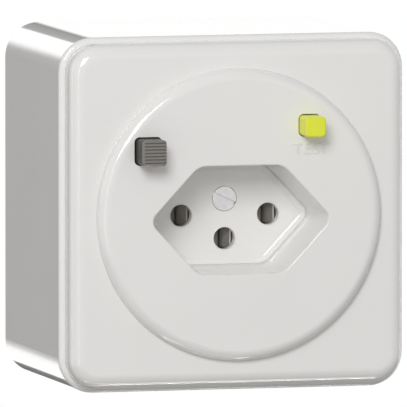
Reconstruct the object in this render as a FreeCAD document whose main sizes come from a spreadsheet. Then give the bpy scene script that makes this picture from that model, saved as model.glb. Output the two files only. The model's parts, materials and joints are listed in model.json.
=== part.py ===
import FreeCAD, Part

import math
import os
import re

import Sketcher

# A surface-mounted socket outlet for three round pins, with a residual-current trip inside.
# Axes: +X right, +Z up, the wall plane is y = 0 and the front faces -Y. A depth is counted from the
# wall toward the front, so a point at depth 45 lies at y = -45. Lengths are in millimetres.

SIZES = {
    # Box on the wall and cover frame
    "frame_side": 75.2,
    "frame_corner": 7.4,
    "frame_wall": 2.2,
    "rim_depth": 2.0,
    "rim_width": 1.2,
    "rim_round": 0.9,
    "rim_overhang": 0.1,
    "pad_height": 5.5,
    "pad_round": 3.0,
    "disc_overlap": 0.8,
    "skirt_length": 3.0,
    "skirt_wall": 1.4,
    "skirt_clearance": 0.2,
    "box_depth": 45.0,
    "box_wall": 2.2,
    "box_back": 2.5,
    "box_back_bevel": 0.8,
    "wall_slot_spacing": 40.0,
    "wall_slot_width": 4.5,
    "wall_slot_length": 9.0,
    "cable_entry_diameter": 16.0,
    "cable_entry_drop": 18.0,
    # Centre plate
    "disc_diameter": 62.0,
    "disc_height": 2.5,
    "disc_round": 2.4,
    "tab_width": 10.0,
    "tab_wall": 1.6,
    "tab_length": 3.0,
    "recess_rise": -1.0,
    "recess_half_width": 19.9,
    "recess_half_height": 11.5,
    "recess_half_flat": 9.2,
    "recess_depth": 13.8,
    "recess_draft": 3.6,
    "recess_wall": 1.6,
    "recess_floor": 2.0,
    "recess_side_round": 2.2,
    "recess_top_round": 4.0,
    "recess_mouth_bevel": 0.35,
    "pin_spacing": 19.0,
    "earth_drop": 5.0,
    "pin_hole": 4.7,
    # Buttons and their sleeves
    "reset_rise": 14.0,
    "reset_offset": -20.3,
    "reset_width": 5.25,
    "reset_height": 5.5,
    "reset_aperture": 6.0,
    "reset_travel": 2.5,
    "reset_stem": 3.0,
    "probe_rise": 18.8,
    "probe_offset": 14.85,
    "probe_width": 4.4,
    "probe_height": 4.3,
    "probe_aperture": 4.75,
    "probe_travel": 1.5,
    "probe_stem": 2.4,
    "probe_stem_setback": 5.0,
    "test_bridge_length": 5.8,
    "test_bridge_height": 2.2,
    "test_pad_diameter": 1.0,
    "test_pad_spacing": 4.4,
    "aperture_round": 1.1,
    "button_round": 0.8,
    "button_edge_bevel": 0.3,
    "button_reach": 5.5,
    "collar_step": 0.7,
    "collar_thickness": 1.5,
    "sleeve_wall": 1.0,
    "sleeve_length": 7.0,
    "running_gap": 0.2,
    "rib_pitch": 0.7,
    "rib_groove_width": 0.3,
    "rib_groove_depth": 0.35,
    # Fixings
    "thread_clearance": 0.05,
    "centre_screw_rise": 2.4,
    "centre_screw_head": 5.2,
    "centre_screw_head_height": 1.2,
    "centre_screw_shank": 3.0,
    "slot_width": 0.8,
    "slot_depth": 0.7,
    "slot_angle": 25.0,
    "bush_diameter": 5.5,
    "bush_length": 8.0,
    "boss_inset": 7.5,
    "boss_diameter": 7.0,
    "strap_screw_head": 6.4,
    "strap_screw_head_height": 2.0,
    "strap_screw_shank": 3.2,
    "strap_screw_length": 14.0,
    "base_screw_head": 4.4,
    "base_screw_head_height": 1.6,
    "base_screw_shank": 2.4,
    "base_screw_length": 12.0,
    # Insert: strap, base and cover
    "strap_margin": 2.3,
    "strap_corner": 5.0,
    "strap_thickness": 1.2,
    "strap_seat": 3.0,
    "strap_slot_length": 6.0,
    "base_side": 52.0,
    "base_wall": 1.6,
    "base_back_depth": 6.0,
    "post_inset": 4.2,
    "post_diameter": 5.6,
    "cover_thickness": 2.0,
    "cover_step": 1.0,
    "chamber_half_width": 15.0,
    "chamber_top": 5.5,
    "chamber_bottom": -11.5,
    "chamber_side": 6.8,
    # Contacts and terminals
    "metal": 0.8,
    "leaf_metal": 0.6,
    "leaf_gap": 3.9,
    "leaf_height": 4.4,
    "chamber_wall": 1.0,
    "contact_depth": 21.0,
    "terminal_side": 7.0,
    "terminal_spacing": 14.0,
    "terminal_rise": -20.0,
    "wire_hole": 3.2,
    "terminal_screw_head": 4.6,
    "terminal_screw_shank": 3.0,
    "tip_side": 2.2,
    "tip_height": 0.9,
    "tip_gap": 0.1,
    "moving_tip_height": 1.0,
    "bridge_rise": 11.0,
    "bridge_height": 3.2,
    "bridge_overlap": 0.8,
    "feed_offset": 4.4,
    "feed_width": 2.4,
    # Residual-current sensing and trip
    "conductor_side": 1.4,
    "conductor_offset": 1.5,
    "conductor_depth": 14.2,
    "core_outer": 11.2,
    "core_inner": 6.4,
    "core_height": 7.0,
    "core_rise": -10.0,
    "winding_thickness": 0.7,
    "winding_angle": 300.0,
    "board_thickness": 1.4,
    "board_stand": 1.6,
    "board_bottom": 3.0,
    "chip_width": 6.0,
    "chip_height": 5.0,
    "chip_thickness": 1.4,
    "chip_offset": -3.0,
    "chip_rise": 19.0,
    "capacitor_diameter": 5.6,
    "capacitor_height": 8.0,
    "capacitor_offset": 20.0,
    "capacitor_rise": 8.0,
    "varistor_diameter": 6.6,
    "varistor_thickness": 2.4,
    "varistor_offset": 20.7,
    "varistor_rise": 15.4,
    "resistor_diameter": 2.4,
    "resistor_length": 6.2,
    "resistor_offset": 10.2,
    "resistor_rise": 18.5,
    "carrier_thickness": 3.4,
    "carrier_height": 5.5,
    "carrier_spring_radius": 1.9,
    "spring_wire": 0.5,
    "spring_gap": 0.12,
    "coil_rise": 19.0,
    "coil_depth": 19.0,
    "coil_length": 14.0,
    "coil_offset": -1.0,
    "flange_side": 8.2,
    "flange_thickness": 0.8,
    "bobbin_tube": 4.0,
    "coil_diameter": 7.6,
    "yoke_metal": 1.2,
    "yoke_width": 6.0,
    "plunger_diameter": 2.6,
    "plunger_travel": 1.5,
    "plunger_neck": 1.6,
    "plunger_groove": 1.5,
    "latch_play": 0.35,
    "latch_pivot_offset": -16.8,
    "latch_pivot_rise": 9.0,
    "latch_thickness": 1.6,
    "latch_hub": 3.2,
    "latch_pin": 1.2,
    "latch_bite": 0.5,
}

TURN_PIECES = 10
SHARP_CORNERS = 1

DOC = FreeCAD.newDocument("socket_outlet")
SHEET = DOC.addObject("Spreadsheet::Sheet", "Sizes")
PARTS = []

# Depths and places that follow from the sizes, written as formulas in the sheet's names
BOX_SIDE = "(frame_side - 2 * rim_overhang)"
BOX_CORNER = "(frame_corner - rim_overhang)"
PAD_SIDE = "(frame_side - 2 * rim_width)"
PAD_CORNER = "(frame_corner - rim_width)"
RIM_FRONT = "(box_depth + rim_depth)"
PAD_FRONT = "(box_depth + rim_depth + pad_height)"
DISC_FRONT = "(box_depth + rim_depth + pad_height + disc_height)"
FLOOR = f"({DISC_FRONT} - recess_depth)"
WELL_BACK = f"({FLOOR} - recess_floor)"
BUTTON_FRONT = f"({DISC_FRONT} + button_reach)"
SLEEVE_BACK = f"({DISC_FRONT} - sleeve_length)"
COLLAR_FRONT = f"({SLEEVE_BACK} - running_gap)"
COLLAR_BACK = f"({COLLAR_FRONT} - collar_thickness)"
STRAP_FRONT = f"({WELL_BACK} - cover_thickness)"
BASE_FRONT = f"({STRAP_FRONT} - strap_thickness)"
LEAF_FRONT = f"({STRAP_FRONT} - chamber_wall - running_gap)"
TEST_STEM_END = f"({LEAF_FRONT} - probe_stem_setback)"
OPENING = "(disc_diameter - 2 * disc_overlap)"
BOX_INNER = f"({BOX_SIDE} - 2 * box_wall)"
BOSS_SPACING = f"({BOX_SIDE} - 2 * boss_inset)"
STRAP_SIDE = f"({BOX_INNER} - 2 * strap_margin)"
STRAP_WINDOW = "(base_side - 2 * strap_seat)"
COVER_SIDE = "(base_side - 2 * cover_step)"
BASE_FLOOR = "(base_back_depth + base_wall)"
BASE_INNER = "(base_side / 2 - base_wall)"
POST = "(base_side / 2 - post_inset)"
EARTH_RISE = "(recess_rise - earth_drop)"
PIN_OFFSET = "(pin_spacing / 2)"
CONTACT_FRONT = "(contact_depth + metal)"
CHAMBER_BACK = f"({CONTACT_FRONT} + running_gap)"
TIPS_FRONT = "(contact_depth - tip_height - tip_gap)"
CARRIER_DEPTH = f"({TIPS_FRONT} - moving_tip_height - leaf_metal - carrier_thickness)"
CARRIER_FRONT = f"({CARRIER_DEPTH} + carrier_thickness)"
BRIDGE_FRONT = f"({CARRIER_FRONT} + leaf_metal)"
TERMINAL_BACK = f"({BASE_FLOOR} + running_gap)"
BOARD_BACK = f"({BASE_FLOOR} + board_stand)"
BOARD_FRONT = f"({BOARD_BACK} + board_thickness)"
LATCH_BACK = "(coil_depth + plunger_neck / 2 + 0.4)"
LATCH_FRONT = f"({LATCH_BACK} + latch_thickness)"
COIL_LEFT = "(coil_offset - coil_length / 2)"
COIL_RIGHT = "(coil_offset + coil_length / 2)"
FEED_RISE = "(board_bottom + 2.2)"
GROOVE_LEFT = "(latch_pivot_offset + 2.6)"


def formula(text):
    """Point each name of the sheet in a formula at the sheet, as an expression needs it."""
    return re.sub(r"[a-z_]+", lambda m: "Sizes." + m[0] if m[0] in SIZES else m[0], str(text))


def value(text):
    """Work a formula out to a plain number."""
    return float(SHEET.evalExpression(formula(text)))


def bind(thing, **sizes):
    """Tie properties to formulas; a double underscore in a name stands for a dot."""
    for path, text in sizes.items():
        thing.setExpression(path.replace("__", "."), formula(text))
    return thing


def about(middle, width):
    """Give the two ends of a span of some width about a middle."""
    return f"{middle} - ({width}) / 2", f"{middle} + ({width}) / 2"


def fill_sheet():
    """Write the driving dimensions into the spreadsheet, one row each."""
    for row, (alias, number) in enumerate(SIZES.items(), start=1):
        SHEET.set(f"A{row}", alias.replace("_", " "))
        SHEET.set(f"B{row}", str(number))
        SHEET.setAlias(f"B{row}", alias)
    DOC.recompute()


# Bodies made from sketches


def new_body(label):
    """Start a body that becomes one sub-part of the outlet."""
    body = DOC.addObject("PartDesign::Body", label)
    body.Label = label
    PARTS.append(body)
    return body


def new_sketch(body, name, depth, role="XZ_Plane"):
    """Lay a sketch on an origin plane of the body, moved toward the front by a depth."""
    sketch = body.newObject("Sketcher::SketchObject", name)
    plane = next(f for f in body.Origin.OriginFeatures if f.Role == role)
    sketch.AttachmentSupport = [(plane, "")]
    sketch.MapMode = "FlatFace"
    return bind(sketch, AttachmentOffset__Base__z=depth)


def dimension(sketch, kind, places, text):
    """Add one named dimension that follows a formula."""
    row = sketch.addConstraint(Sketcher.Constraint(kind, *places, value(text)))
    name = f"size_{row}"
    sketch.renameConstraint(row, name)
    sketch.setExpression(f"Constraints.{name}", formula(text))


def place(sketch, geometry, point, x, z):
    """Hold a point of the sketch at x and z from the sketch's origin."""
    dimension(sketch, "DistanceX", (-1, 1, geometry, point), x)
    dimension(sketch, "DistanceY", (-1, 1, geometry, point), z)


def circle(sketch, x, z, diameter):
    """Draw a circle round (x, z)."""
    centre = FreeCAD.Vector(value(x), value(z), 0)
    ring = Part.Circle(centre, FreeCAD.Vector(0, 0, 1), value(diameter) / 2)
    geometry = sketch.addGeometry(ring, False)
    place(sketch, geometry, 3, x, z)
    dimension(sketch, "Diameter", (geometry,), diameter)


def rounded_rectangle(sketch, width, height, radius, x="0", z="0"):
    """Draw a rectangle with round corners about (x, z)."""
    half_w, half_h, r = value(width) / 2, value(height) / 2, value(radius)
    cx, cz = value(x), value(z)
    first = sketch.GeometryCount
    corners = [(1, -1, -90), (1, 1, 0), (-1, 1, 90), (-1, -1, 180)]
    for side_x, side_z, start in corners:
        centre = FreeCAD.Vector(cx + side_x * (half_w - r), cz + side_z * (half_h - r), 0)
        ring = Part.Circle(centre, FreeCAD.Vector(0, 0, 1), r)
        sketch.addGeometry(Part.ArcOfCircle(ring, math.radians(start), math.radians(start + 90)), False)
    for corner in range(4):
        here = sketch.getPoint(first + corner, 2)
        there = sketch.getPoint(first + (corner + 1) % 4, 1)
        sketch.addGeometry(Part.LineSegment(here, there), False)
    middle = sketch.addGeometry(Part.Point(FreeCAD.Vector(cx, cz, 0)), True)
    for corner in range(4):
        line = first + 4 + corner
        sketch.addConstraint(Sketcher.Constraint("Tangent", first + corner, 2, line, 1))
        sketch.addConstraint(Sketcher.Constraint("Tangent", line, 2, first + (corner + 1) % 4, 1))
        sketch.addConstraint(Sketcher.Constraint("Vertical" if corner % 2 == 0 else "Horizontal", line))
    for corner in range(1, 4):
        sketch.addConstraint(Sketcher.Constraint("Equal", first, first + corner))
    opposite = Sketcher.Constraint("Symmetric", first + 4, 1, first + 6, 1, middle, 1)
    sketch.addConstraint(opposite)
    place(sketch, middle, 1, x, z)
    dimension(sketch, "DistanceX", (first + 6, 1, first + 4, 1), width)
    dimension(sketch, "DistanceY", (first + 7, 1, first + 5, 1), height)
    dimension(sketch, "Radius", (first,), radius)


def rectangle(sketch, width, height, x="0", z="0"):
    """Draw a square-cornered rectangle about (x, z)."""
    left, right = f"{x} - {width} / 2", f"{x} + {width} / 2"
    low, high = f"{z} - {height} / 2", f"{z} + {height} / 2"
    polygon(sketch, [(left, low), (right, low), (right, high), (left, high)])


def polygon(sketch, corners):
    """Draw a closed outline through corners, each held at its own formulas."""
    points = [FreeCAD.Vector(value(x), value(z), 0) for x, z in corners]
    first = sketch.GeometryCount
    for here, there in zip(points, points[1:] + points[:1]):
        sketch.addGeometry(Part.LineSegment(here, there), False)
    for corner, (x, z) in enumerate(corners):
        before = first + (corner - 1) % len(corners)
        sketch.addConstraint(Sketcher.Constraint("Coincident", before, 2, first + corner, 1))
        place(sketch, first + corner, 1, x, z)


def pad(body, name, sketch, length):
    """Raise a sketch toward the front."""
    feature = body.newObject("PartDesign::Pad", name)
    feature.Profile = sketch
    return bind(feature, Length=length)


def pocket(body, name, sketch, length, forward=False):
    """Cut a sketch toward the wall, or toward the front."""
    feature = body.newObject("PartDesign::Pocket", name)
    feature.Profile = sketch
    feature.Reversed = forward
    return bind(feature, Length=length)


def round_edges(body, name, base, radius, wanted):
    """Fillet the edges of the last feature for which wanted(edge) holds."""
    DOC.recompute()
    names = [f"Edge{i}" for i, edge in enumerate(base.Shape.Edges, start=1) if wanted(edge)]
    feature = body.newObject("PartDesign::Fillet", name)
    feature.Base = (base, names)
    return bind(feature, Radius=radius)


def bevel_edges(body, name, base, size, wanted):
    """Chamfer the edges of the last feature for which wanted(edge) holds."""
    DOC.recompute()
    names = [f"Edge{i}" for i, edge in enumerate(base.Shape.Edges, start=1) if wanted(edge)]
    feature = body.newObject("PartDesign::Chamfer", name)
    feature.Base = (base, names)
    return bind(feature, Size=size)


def flat_at(edge, depth):
    """Tell whether an edge lies wholly at one depth."""
    box = edge.BoundBox
    y = -value(depth)
    return abs(box.YMin - y) < 0.01 and abs(box.YMax - y) < 0.01


# Plain solids, placed by depth


def block(left, right, back, front, bottom, top):
    """Make a box between pairs of planes."""
    box = DOC.addObject("Part::Box", "Block")
    bind(box, Length=f"({right}) - ({left})", Width=f"({front}) - ({back})", Height=f"({top}) - ({bottom})")
    return bind(box, Placement__Base__x=left, Placement__Base__y=f"-({front})", Placement__Base__z=bottom)


def rod(x, z, back, front, diameter):
    """Make a cylinder that runs from the back toward the front."""
    rod_y = DOC.addObject("Part::Cylinder", "Rod")
    rod_y.Placement.Rotation = FreeCAD.Rotation(FreeCAD.Vector(1, 0, 0), 90)
    bind(rod_y, Radius=f"({diameter}) / 2", Height=f"({front}) - ({back})")
    return bind(rod_y, Placement__Base__x=x, Placement__Base__y=f"-({back})", Placement__Base__z=z)


def post(x, depth, bottom, top, diameter, turn="360"):
    """Make an upright cylinder, or a sector of one."""
    rod_z = DOC.addObject("Part::Cylinder", "Post")
    bind(rod_z, Radius=f"({diameter}) / 2", Height=f"({top}) - ({bottom})", Angle=turn)
    return bind(rod_z, Placement__Base__x=x, Placement__Base__y=f"-({depth})", Placement__Base__z=bottom)


def bar(left, right, depth, z, diameter):
    """Make a cylinder that runs from left to right."""
    rod_x = DOC.addObject("Part::Cylinder", "Bar")
    rod_x.Placement.Rotation = FreeCAD.Rotation(FreeCAD.Vector(0, 1, 0), 90)
    bind(rod_x, Radius=f"({diameter}) / 2", Height=f"({right}) - ({left})")
    return bind(rod_x, Placement__Base__x=left, Placement__Base__y=f"-({depth})", Placement__Base__z=z)


def joined(solids):
    """Fuse solids into one, or pass a single one through."""
    if len(solids) == 1:
        return solids[0]
    fused = DOC.addObject("Part::MultiFuse", "Joined")
    fused.Shapes = solids
    return fused


def less(base, tools):
    """Cut tools away from a base."""
    cut = DOC.addObject("Part::Cut", "Less")
    cut.Base = base
    cut.Tool = joined(tools)
    return cut


def keep(label, solid):
    """Name a finished solid as one sub-part."""
    solid.Label = label
    PARTS.append(solid)
    return solid


def keep_group(label, solids):
    """Name several separate solids as one sub-part."""
    group = DOC.addObject("Part::Compound", label)
    group.Links = solids
    return keep(label, group)


# The box, the frame and the centre plate


def surface_box():
    """Build the deep box that is screwed to the wall."""
    body = new_body("surface_box")
    outline = new_sketch(body, "box_outline", "0")
    rounded_rectangle(outline, BOX_SIDE, BOX_SIDE, BOX_CORNER)
    pad(body, "box_block", outline, "box_depth")
    inside = new_sketch(body, "box_inside", "box_depth")
    rounded_rectangle(inside, BOX_INNER, BOX_INNER, f"{BOX_CORNER} - box_wall")
    pocket(body, "box_hollow", inside, "box_depth - box_back")
    bosses = new_sketch(body, "boss_outline", "box_back")
    for side in ("-", ""):
        circle(bosses, f"{side}{BOSS_SPACING} / 2", "0", "boss_diameter")
    pad(body, "bosses", bosses, f"{BASE_FRONT} - box_back")
    holes = new_sketch(body, "boss_holes", BASE_FRONT)
    for side in ("-", ""):
        circle(holes, f"{side}{BOSS_SPACING} / 2", "0", "strap_screw_shank + 2 * thread_clearance")
    pocket(body, "boss_bores", holes, "strap_screw_length + 1")
    fixings = new_sketch(body, "wall_slots", "box_back")
    for side in ("-", ""):
        rounded_rectangle(
            fixings, "wall_slot_length", "wall_slot_width", "wall_slot_width / 2 - 0.01",
            f"{side}wall_slot_spacing / 2")
    circle(fixings, "0", "-cable_entry_drop", "cable_entry_diameter")
    last = pocket(body, "wall_openings", fixings, "box_back")
    bevel_edges(body, "back_edge", last, "box_back_bevel",
                lambda edge: flat_at(edge, "0") and on_square(edge, BOX_SIDE, BOX_CORNER))


def on_square(edge, side, corner):
    """Tell whether an edge is part of the rounded square outline about the axis."""
    point = edge.valueAt((edge.FirstParameter + edge.LastParameter) / 2)
    half, r = value(side) / 2, value(corner)
    x, z = abs(point.x) - (half - r), abs(point.z) - (half - r)
    if x > 0 and z > 0:
        return abs(math.hypot(x, z) - r) < 0.02
    return abs(max(x, z) - r) < 0.02


def cover_frame():
    """Build the square frame with its rim, its raised round-edged pad and the skirt behind it."""
    body = new_body("cover_frame")
    rim = new_sketch(body, "rim_outline", "box_depth")
    rounded_rectangle(rim, "frame_side", "frame_side", "frame_corner")
    pad(body, "rim", rim, "rim_depth")
    raised = new_sketch(body, "pad_outline", RIM_FRONT)
    rounded_rectangle(raised, PAD_SIDE, PAD_SIDE, PAD_CORNER)
    top = pad(body, "raised_pad", raised, "pad_height")
    top = round_edges(body, "pad_edge", top, "pad_round",
                      lambda edge: flat_at(edge, PAD_FRONT) and on_square(edge, PAD_SIDE, PAD_CORNER))
    round_edges(body, "rim_edge", top, "rim_round",
                lambda edge: flat_at(edge, RIM_FRONT) and on_square(edge, "frame_side", "frame_corner"))
    inside = new_sketch(body, "frame_inside", "box_depth")
    inner = f"{PAD_SIDE} - 2 * frame_wall"
    rounded_rectangle(inside, inner, inner, f"{PAD_CORNER} - frame_wall")
    pocket(body, "frame_hollow", inside, "rim_depth + pad_height - frame_wall", forward=True)
    opening = new_sketch(body, "opening_outline", PAD_FRONT)
    circle(opening, "0", "0", OPENING)
    pocket(body, "opening", opening, "frame_wall")
    skirt = new_sketch(body, "skirt_outline", "box_depth - skirt_length")
    outer = f"({BOX_INNER} - 2 * skirt_clearance)"
    corner = f"({BOX_CORNER} - box_wall - skirt_clearance)"
    rounded_rectangle(skirt, outer, outer, corner)
    inner = f"({outer} - 2 * skirt_wall)"
    rounded_rectangle(skirt, inner, inner, f"{corner} - skirt_wall")
    pad(body, "skirt", skirt, "skirt_length + rim_depth")


def hexagon(sketch, grow):
    """Draw the recess outline, moved outward by an even distance all round."""
    slant = "atan(recess_half_height / (recess_half_width - recess_half_flat))"
    wide = f"(recess_half_width + {grow} / sin({slant}))"
    flat = f"(recess_half_flat + {grow} * tan({slant} / 2))"
    top = f"(recess_rise + recess_half_height + {grow})"
    bottom = f"(recess_rise - recess_half_height - {grow})"
    polygon(sketch, [
        (wide, "recess_rise"), (flat, top), (f"-{flat}", top),
        (f"-{wide}", "recess_rise"), (f"-{flat}", bottom), (flat, bottom),
    ])


def recess(body):
    """Sink the six-sided recess with its draft, its round corners and its bevelled mouth."""
    mouth = new_sketch(body, "recess_outline", DISC_FRONT)
    hexagon(mouth, "0")
    cut = pocket(body, "recess", mouth, "recess_depth")
    bind(cut, TaperAngle="-recess_draft")
    DOC.recompute()
    half = value("recess_half_width")

    def upright(edge, inner, outer):
        """Tell whether an edge runs down the recess at a certain distance from its middle."""
        box = edge.BoundBox
        down = box.YLength > value("recess_depth") - 0.1
        return down and inner < max(abs(box.XMin), abs(box.XMax)) < outer

    middle = (value("recess_half_width") + value("recess_half_flat")) / 2
    last = round_edges(body, "side_corners", cut, "recess_side_round",
                       lambda edge: upright(edge, middle, half + 0.1))
    last = round_edges(body, "top_corners", last, "recess_top_round",
                       lambda edge: upright(edge, 1, middle))

    def at_mouth(edge):
        """Tell whether an edge lies on the recess's mouth."""
        box = edge.BoundBox
        reach = max(abs(box.XMin), abs(box.XMax))
        high = max(abs(box.ZMin - value("recess_rise")), abs(box.ZMax - value("recess_rise")))
        inside = reach < half + 0.1 and high < value("recess_half_height") + 0.1
        return flat_at(edge, DISC_FRONT) and inside

    return bevel_edges(body, "recess_mouth", last, "recess_mouth_bevel", at_mouth)


def button_place(name):
    """Give the x and z formulas of a button."""
    return f"{name}_offset", f"{name}_rise"


def centre_plate():
    """Build the round plate with the socket recess, the button sleeves and the pin holes."""
    body = new_body("centre_plate")
    disc = new_sketch(body, "disc_outline", PAD_FRONT)
    circle(disc, "0", "0", "disc_diameter")
    plate = pad(body, "disc", disc, "disc_height")
    round_edges(body, "disc_edge", plate, "disc_round", lambda edge: flat_at(edge, DISC_FRONT))
    tabs = new_sketch(body, "tab_outlines", f"{PAD_FRONT} - tab_length")
    reach = f"(sqrt(({OPENING} / 2 - running_gap) ^ 2 - (tab_width / 2) ^ 2) - tab_wall / 2)"
    for side in ("-", ""):
        rectangle(tabs, "tab_wall", "tab_width", f"{side}{reach}", "0")
        rectangle(tabs, "tab_width", "tab_wall", "0", f"{side}{reach}")
    pad(body, "tabs", tabs, "tab_length")
    well = new_sketch(body, "well_outline", WELL_BACK)
    hexagon(well, "recess_wall")
    pad(body, "well", well, f"{PAD_FRONT} - {WELL_BACK}")
    for name in ("reset", "probe"):
        sleeve = new_sketch(body, f"{name}_sleeve_outline", SLEEVE_BACK)
        side = f"({name}_aperture + 2 * sleeve_wall)"
        rounded_rectangle(sleeve, side, side, "aperture_round + sleeve_wall", *button_place(name))
        pad(body, f"{name}_sleeve", sleeve, "sleeve_length - disc_height")
    for name in ("reset", "probe"):
        aperture = new_sketch(body, f"{name}_aperture_outline", DISC_FRONT)
        side = f"{name}_aperture"
        rounded_rectangle(aperture, side, side, "aperture_round", *button_place(name))
        pocket(body, f"{name}_opening", aperture, "sleeve_length")
    recess(body)
    holes = new_sketch(body, "pin_hole_outlines", FLOOR)
    circle(holes, PIN_OFFSET, "recess_rise", "pin_hole")
    circle(holes, f"-{PIN_OFFSET}", "recess_rise", "pin_hole")
    circle(holes, "0", EARTH_RISE, "pin_hole")
    circle(holes, "0", "centre_screw_rise", "centre_screw_shank + running_gap")
    pocket(body, "pin_holes", holes, "recess_floor")
    seat = new_sketch(body, "screw_seat_outline", FLOOR)
    circle(seat, "0", "centre_screw_rise", "centre_screw_head + running_gap")
    pocket(body, "screw_seat", seat, "centre_screw_head_height")


# Buttons


def button(name):
    """Build a push button: cap, retaining collar and stem."""
    body = new_body(f"{'test' if name == 'probe' else name}_button")
    x, z = button_place(name)
    cap = new_sketch(body, f"{name}_cap_outline", COLLAR_FRONT)
    rounded_rectangle(cap, f"{name}_width", f"{name}_height", "button_round", x, z)
    top = pad(body, f"{name}_cap", cap, f"{BUTTON_FRONT} - {COLLAR_FRONT}")
    bevel_edges(body, f"{name}_cap_edge", top, "button_edge_bevel",
                lambda edge: flat_at(edge, BUTTON_FRONT))
    collar = new_sketch(body, f"{name}_collar_outline", COLLAR_BACK)
    side = f"{name}_aperture + 2 * collar_step"
    rounded_rectangle(collar, side, side, "aperture_round", x, z)
    pad(body, f"{name}_collar", collar, "collar_thickness")
    return body, x, z


def reset_button():
    """Build the reset button with cross ribs on its face and a catch groove in its stem."""
    body, x, z = button("reset")
    stem = new_sketch(body, "reset_stem_outline", f"{CARRIER_FRONT} + running_gap")
    circle(stem, x, z, "reset_stem")
    pad(body, "reset_stem_rod", stem, f"{COLLAR_BACK} - {CARRIER_FRONT} - running_gap")
    notch = new_sketch(body, "catch_outline", f"{LATCH_FRONT} + running_gap + reset_travel")
    circle(notch, x, z, "reset_stem + 2")
    circle(notch, x, z, "reset_stem - 2 * latch_bite - running_gap")
    pocket(body, "catch_groove", notch, "latch_thickness + reset_travel + 2 * running_gap")
    groove = new_sketch(body, "rib_groove_outline", BUTTON_FRONT)
    lowest = "(reset_rise - 3 * rib_pitch)"
    half = "reset_width / 2 + 0.5"
    polygon(groove, [
        (f"reset_offset - {half}", f"{lowest} - rib_groove_width / 2"),
        (f"reset_offset + {half}", f"{lowest} - rib_groove_width / 2"),
        (f"reset_offset + {half}", f"{lowest} + rib_groove_width / 2"),
        (f"reset_offset - {half}", f"{lowest} + rib_groove_width / 2"),
    ])
    first = pocket(body, "rib_groove", groove, "rib_groove_depth")
    DOC.recompute()
    ribs = body.newObject("PartDesign::LinearPattern", "rib_grooves")
    ribs.Originals = [first]
    ribs.Direction = (groove, ["V_Axis"])
    ribs.Occurrences = 7
    bind(ribs, Length="6 * rib_pitch")
    body.Tip = ribs


def test_button():
    """Build the test button with its plain face and a stem that carries the test bridge."""
    body, x, z = button("probe")
    stem = new_sketch(body, "probe_stem_outline", TEST_STEM_END)
    circle(stem, x, z, "probe_stem")
    pad(body, "probe_stem_rod", stem, f"{COLLAR_BACK} - {TEST_STEM_END}")


def spring(label, radius, length, turns, x, depth, z, rotation=None):
    """Wind a compression spring of square wire along +Y in short straight pieces, then place it."""
    mean, rise, wire = value(radius), value(f"({length}) - spring_wire"), value("spring_wire")
    count = int(turns * TURN_PIECES)
    points = []
    for i in range(count + 1):
        turn = 2 * math.pi * i / TURN_PIECES
        points.append(FreeCAD.Vector(mean * math.cos(turn), rise * i / count, mean * math.sin(turn)))
    along = (points[1] - points[0]).normalize()
    outward = FreeCAD.Vector(1, 0, 0)
    outward = (outward - along * outward.dot(along)).normalize() * (wire / 2)
    across = along.cross(outward)
    section = [points[0] + outward + across, points[0] - outward + across,
               points[0] - outward - across, points[0] + outward - across]
    outline = Part.makePolygon(section + section[:1])
    path = Part.makePolygon(points)
    coil = DOC.addObject("Part::Feature", label)
    coil.Shape = path.makePipeShell([outline], True, False, SHARP_CORNERS)
    if rotation is not None:
        coil.Placement.Rotation = rotation
    place_y = f"-({depth}) + spring_wire / 2"
    if rotation is not None:
        x, place_y = f"{x} + spring_wire / 2", f"-({depth})"
    bind(coil, Placement__Base__x=x, Placement__Base__y=place_y, Placement__Base__z=z)
    keep(label, coil)


def button_springs():
    """Set a spring round each button's stem, between the insert's cover and the collar."""
    for name, label, radius in (("reset", "reset_spring", "2.1"), ("probe", "test_spring", "1.7")):
        length = f"{COLLAR_BACK} - {WELL_BACK} - 2 * spring_gap"
        spring(label, radius, length, 4, f"{name}_offset", f"{COLLAR_BACK} - spring_gap", f"{name}_rise")


# Strap, insert base and insert cover


def support_strap():
    """Build the flat steel frame that carries the insert on the box's bosses."""
    body = new_body("support_strap")
    outline = new_sketch(body, "strap_outline", BASE_FRONT)
    rounded_rectangle(outline, STRAP_SIDE, STRAP_SIDE, "strap_corner")
    rounded_rectangle(outline, STRAP_WINDOW, STRAP_WINDOW, "2")
    pad(body, "strap", outline, "strap_thickness")
    slots = new_sketch(body, "strap_slots", STRAP_FRONT)
    width = "(strap_screw_shank + 2 * running_gap)"
    end = f"({width} / 2 - 0.01)"
    for side in ("-", ""):
        rounded_rectangle(slots, width, "strap_slot_length", end, f"{side}{BOSS_SPACING} / 2")
    for x, z in corners():
        circle(slots, x, z, "base_screw_shank + 2 * running_gap")
    pocket(body, "strap_holes", slots, "strap_thickness")


def corners():
    """Give the places of the two screws that hold the insert together, at opposite corners."""
    return [(f"-{POST}", POST), (POST, f"-{POST}")]


def terminal_places():
    """Give the x formulas of the neutral, earth and line terminals."""
    return ["-terminal_spacing", "0", "terminal_spacing"]


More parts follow.
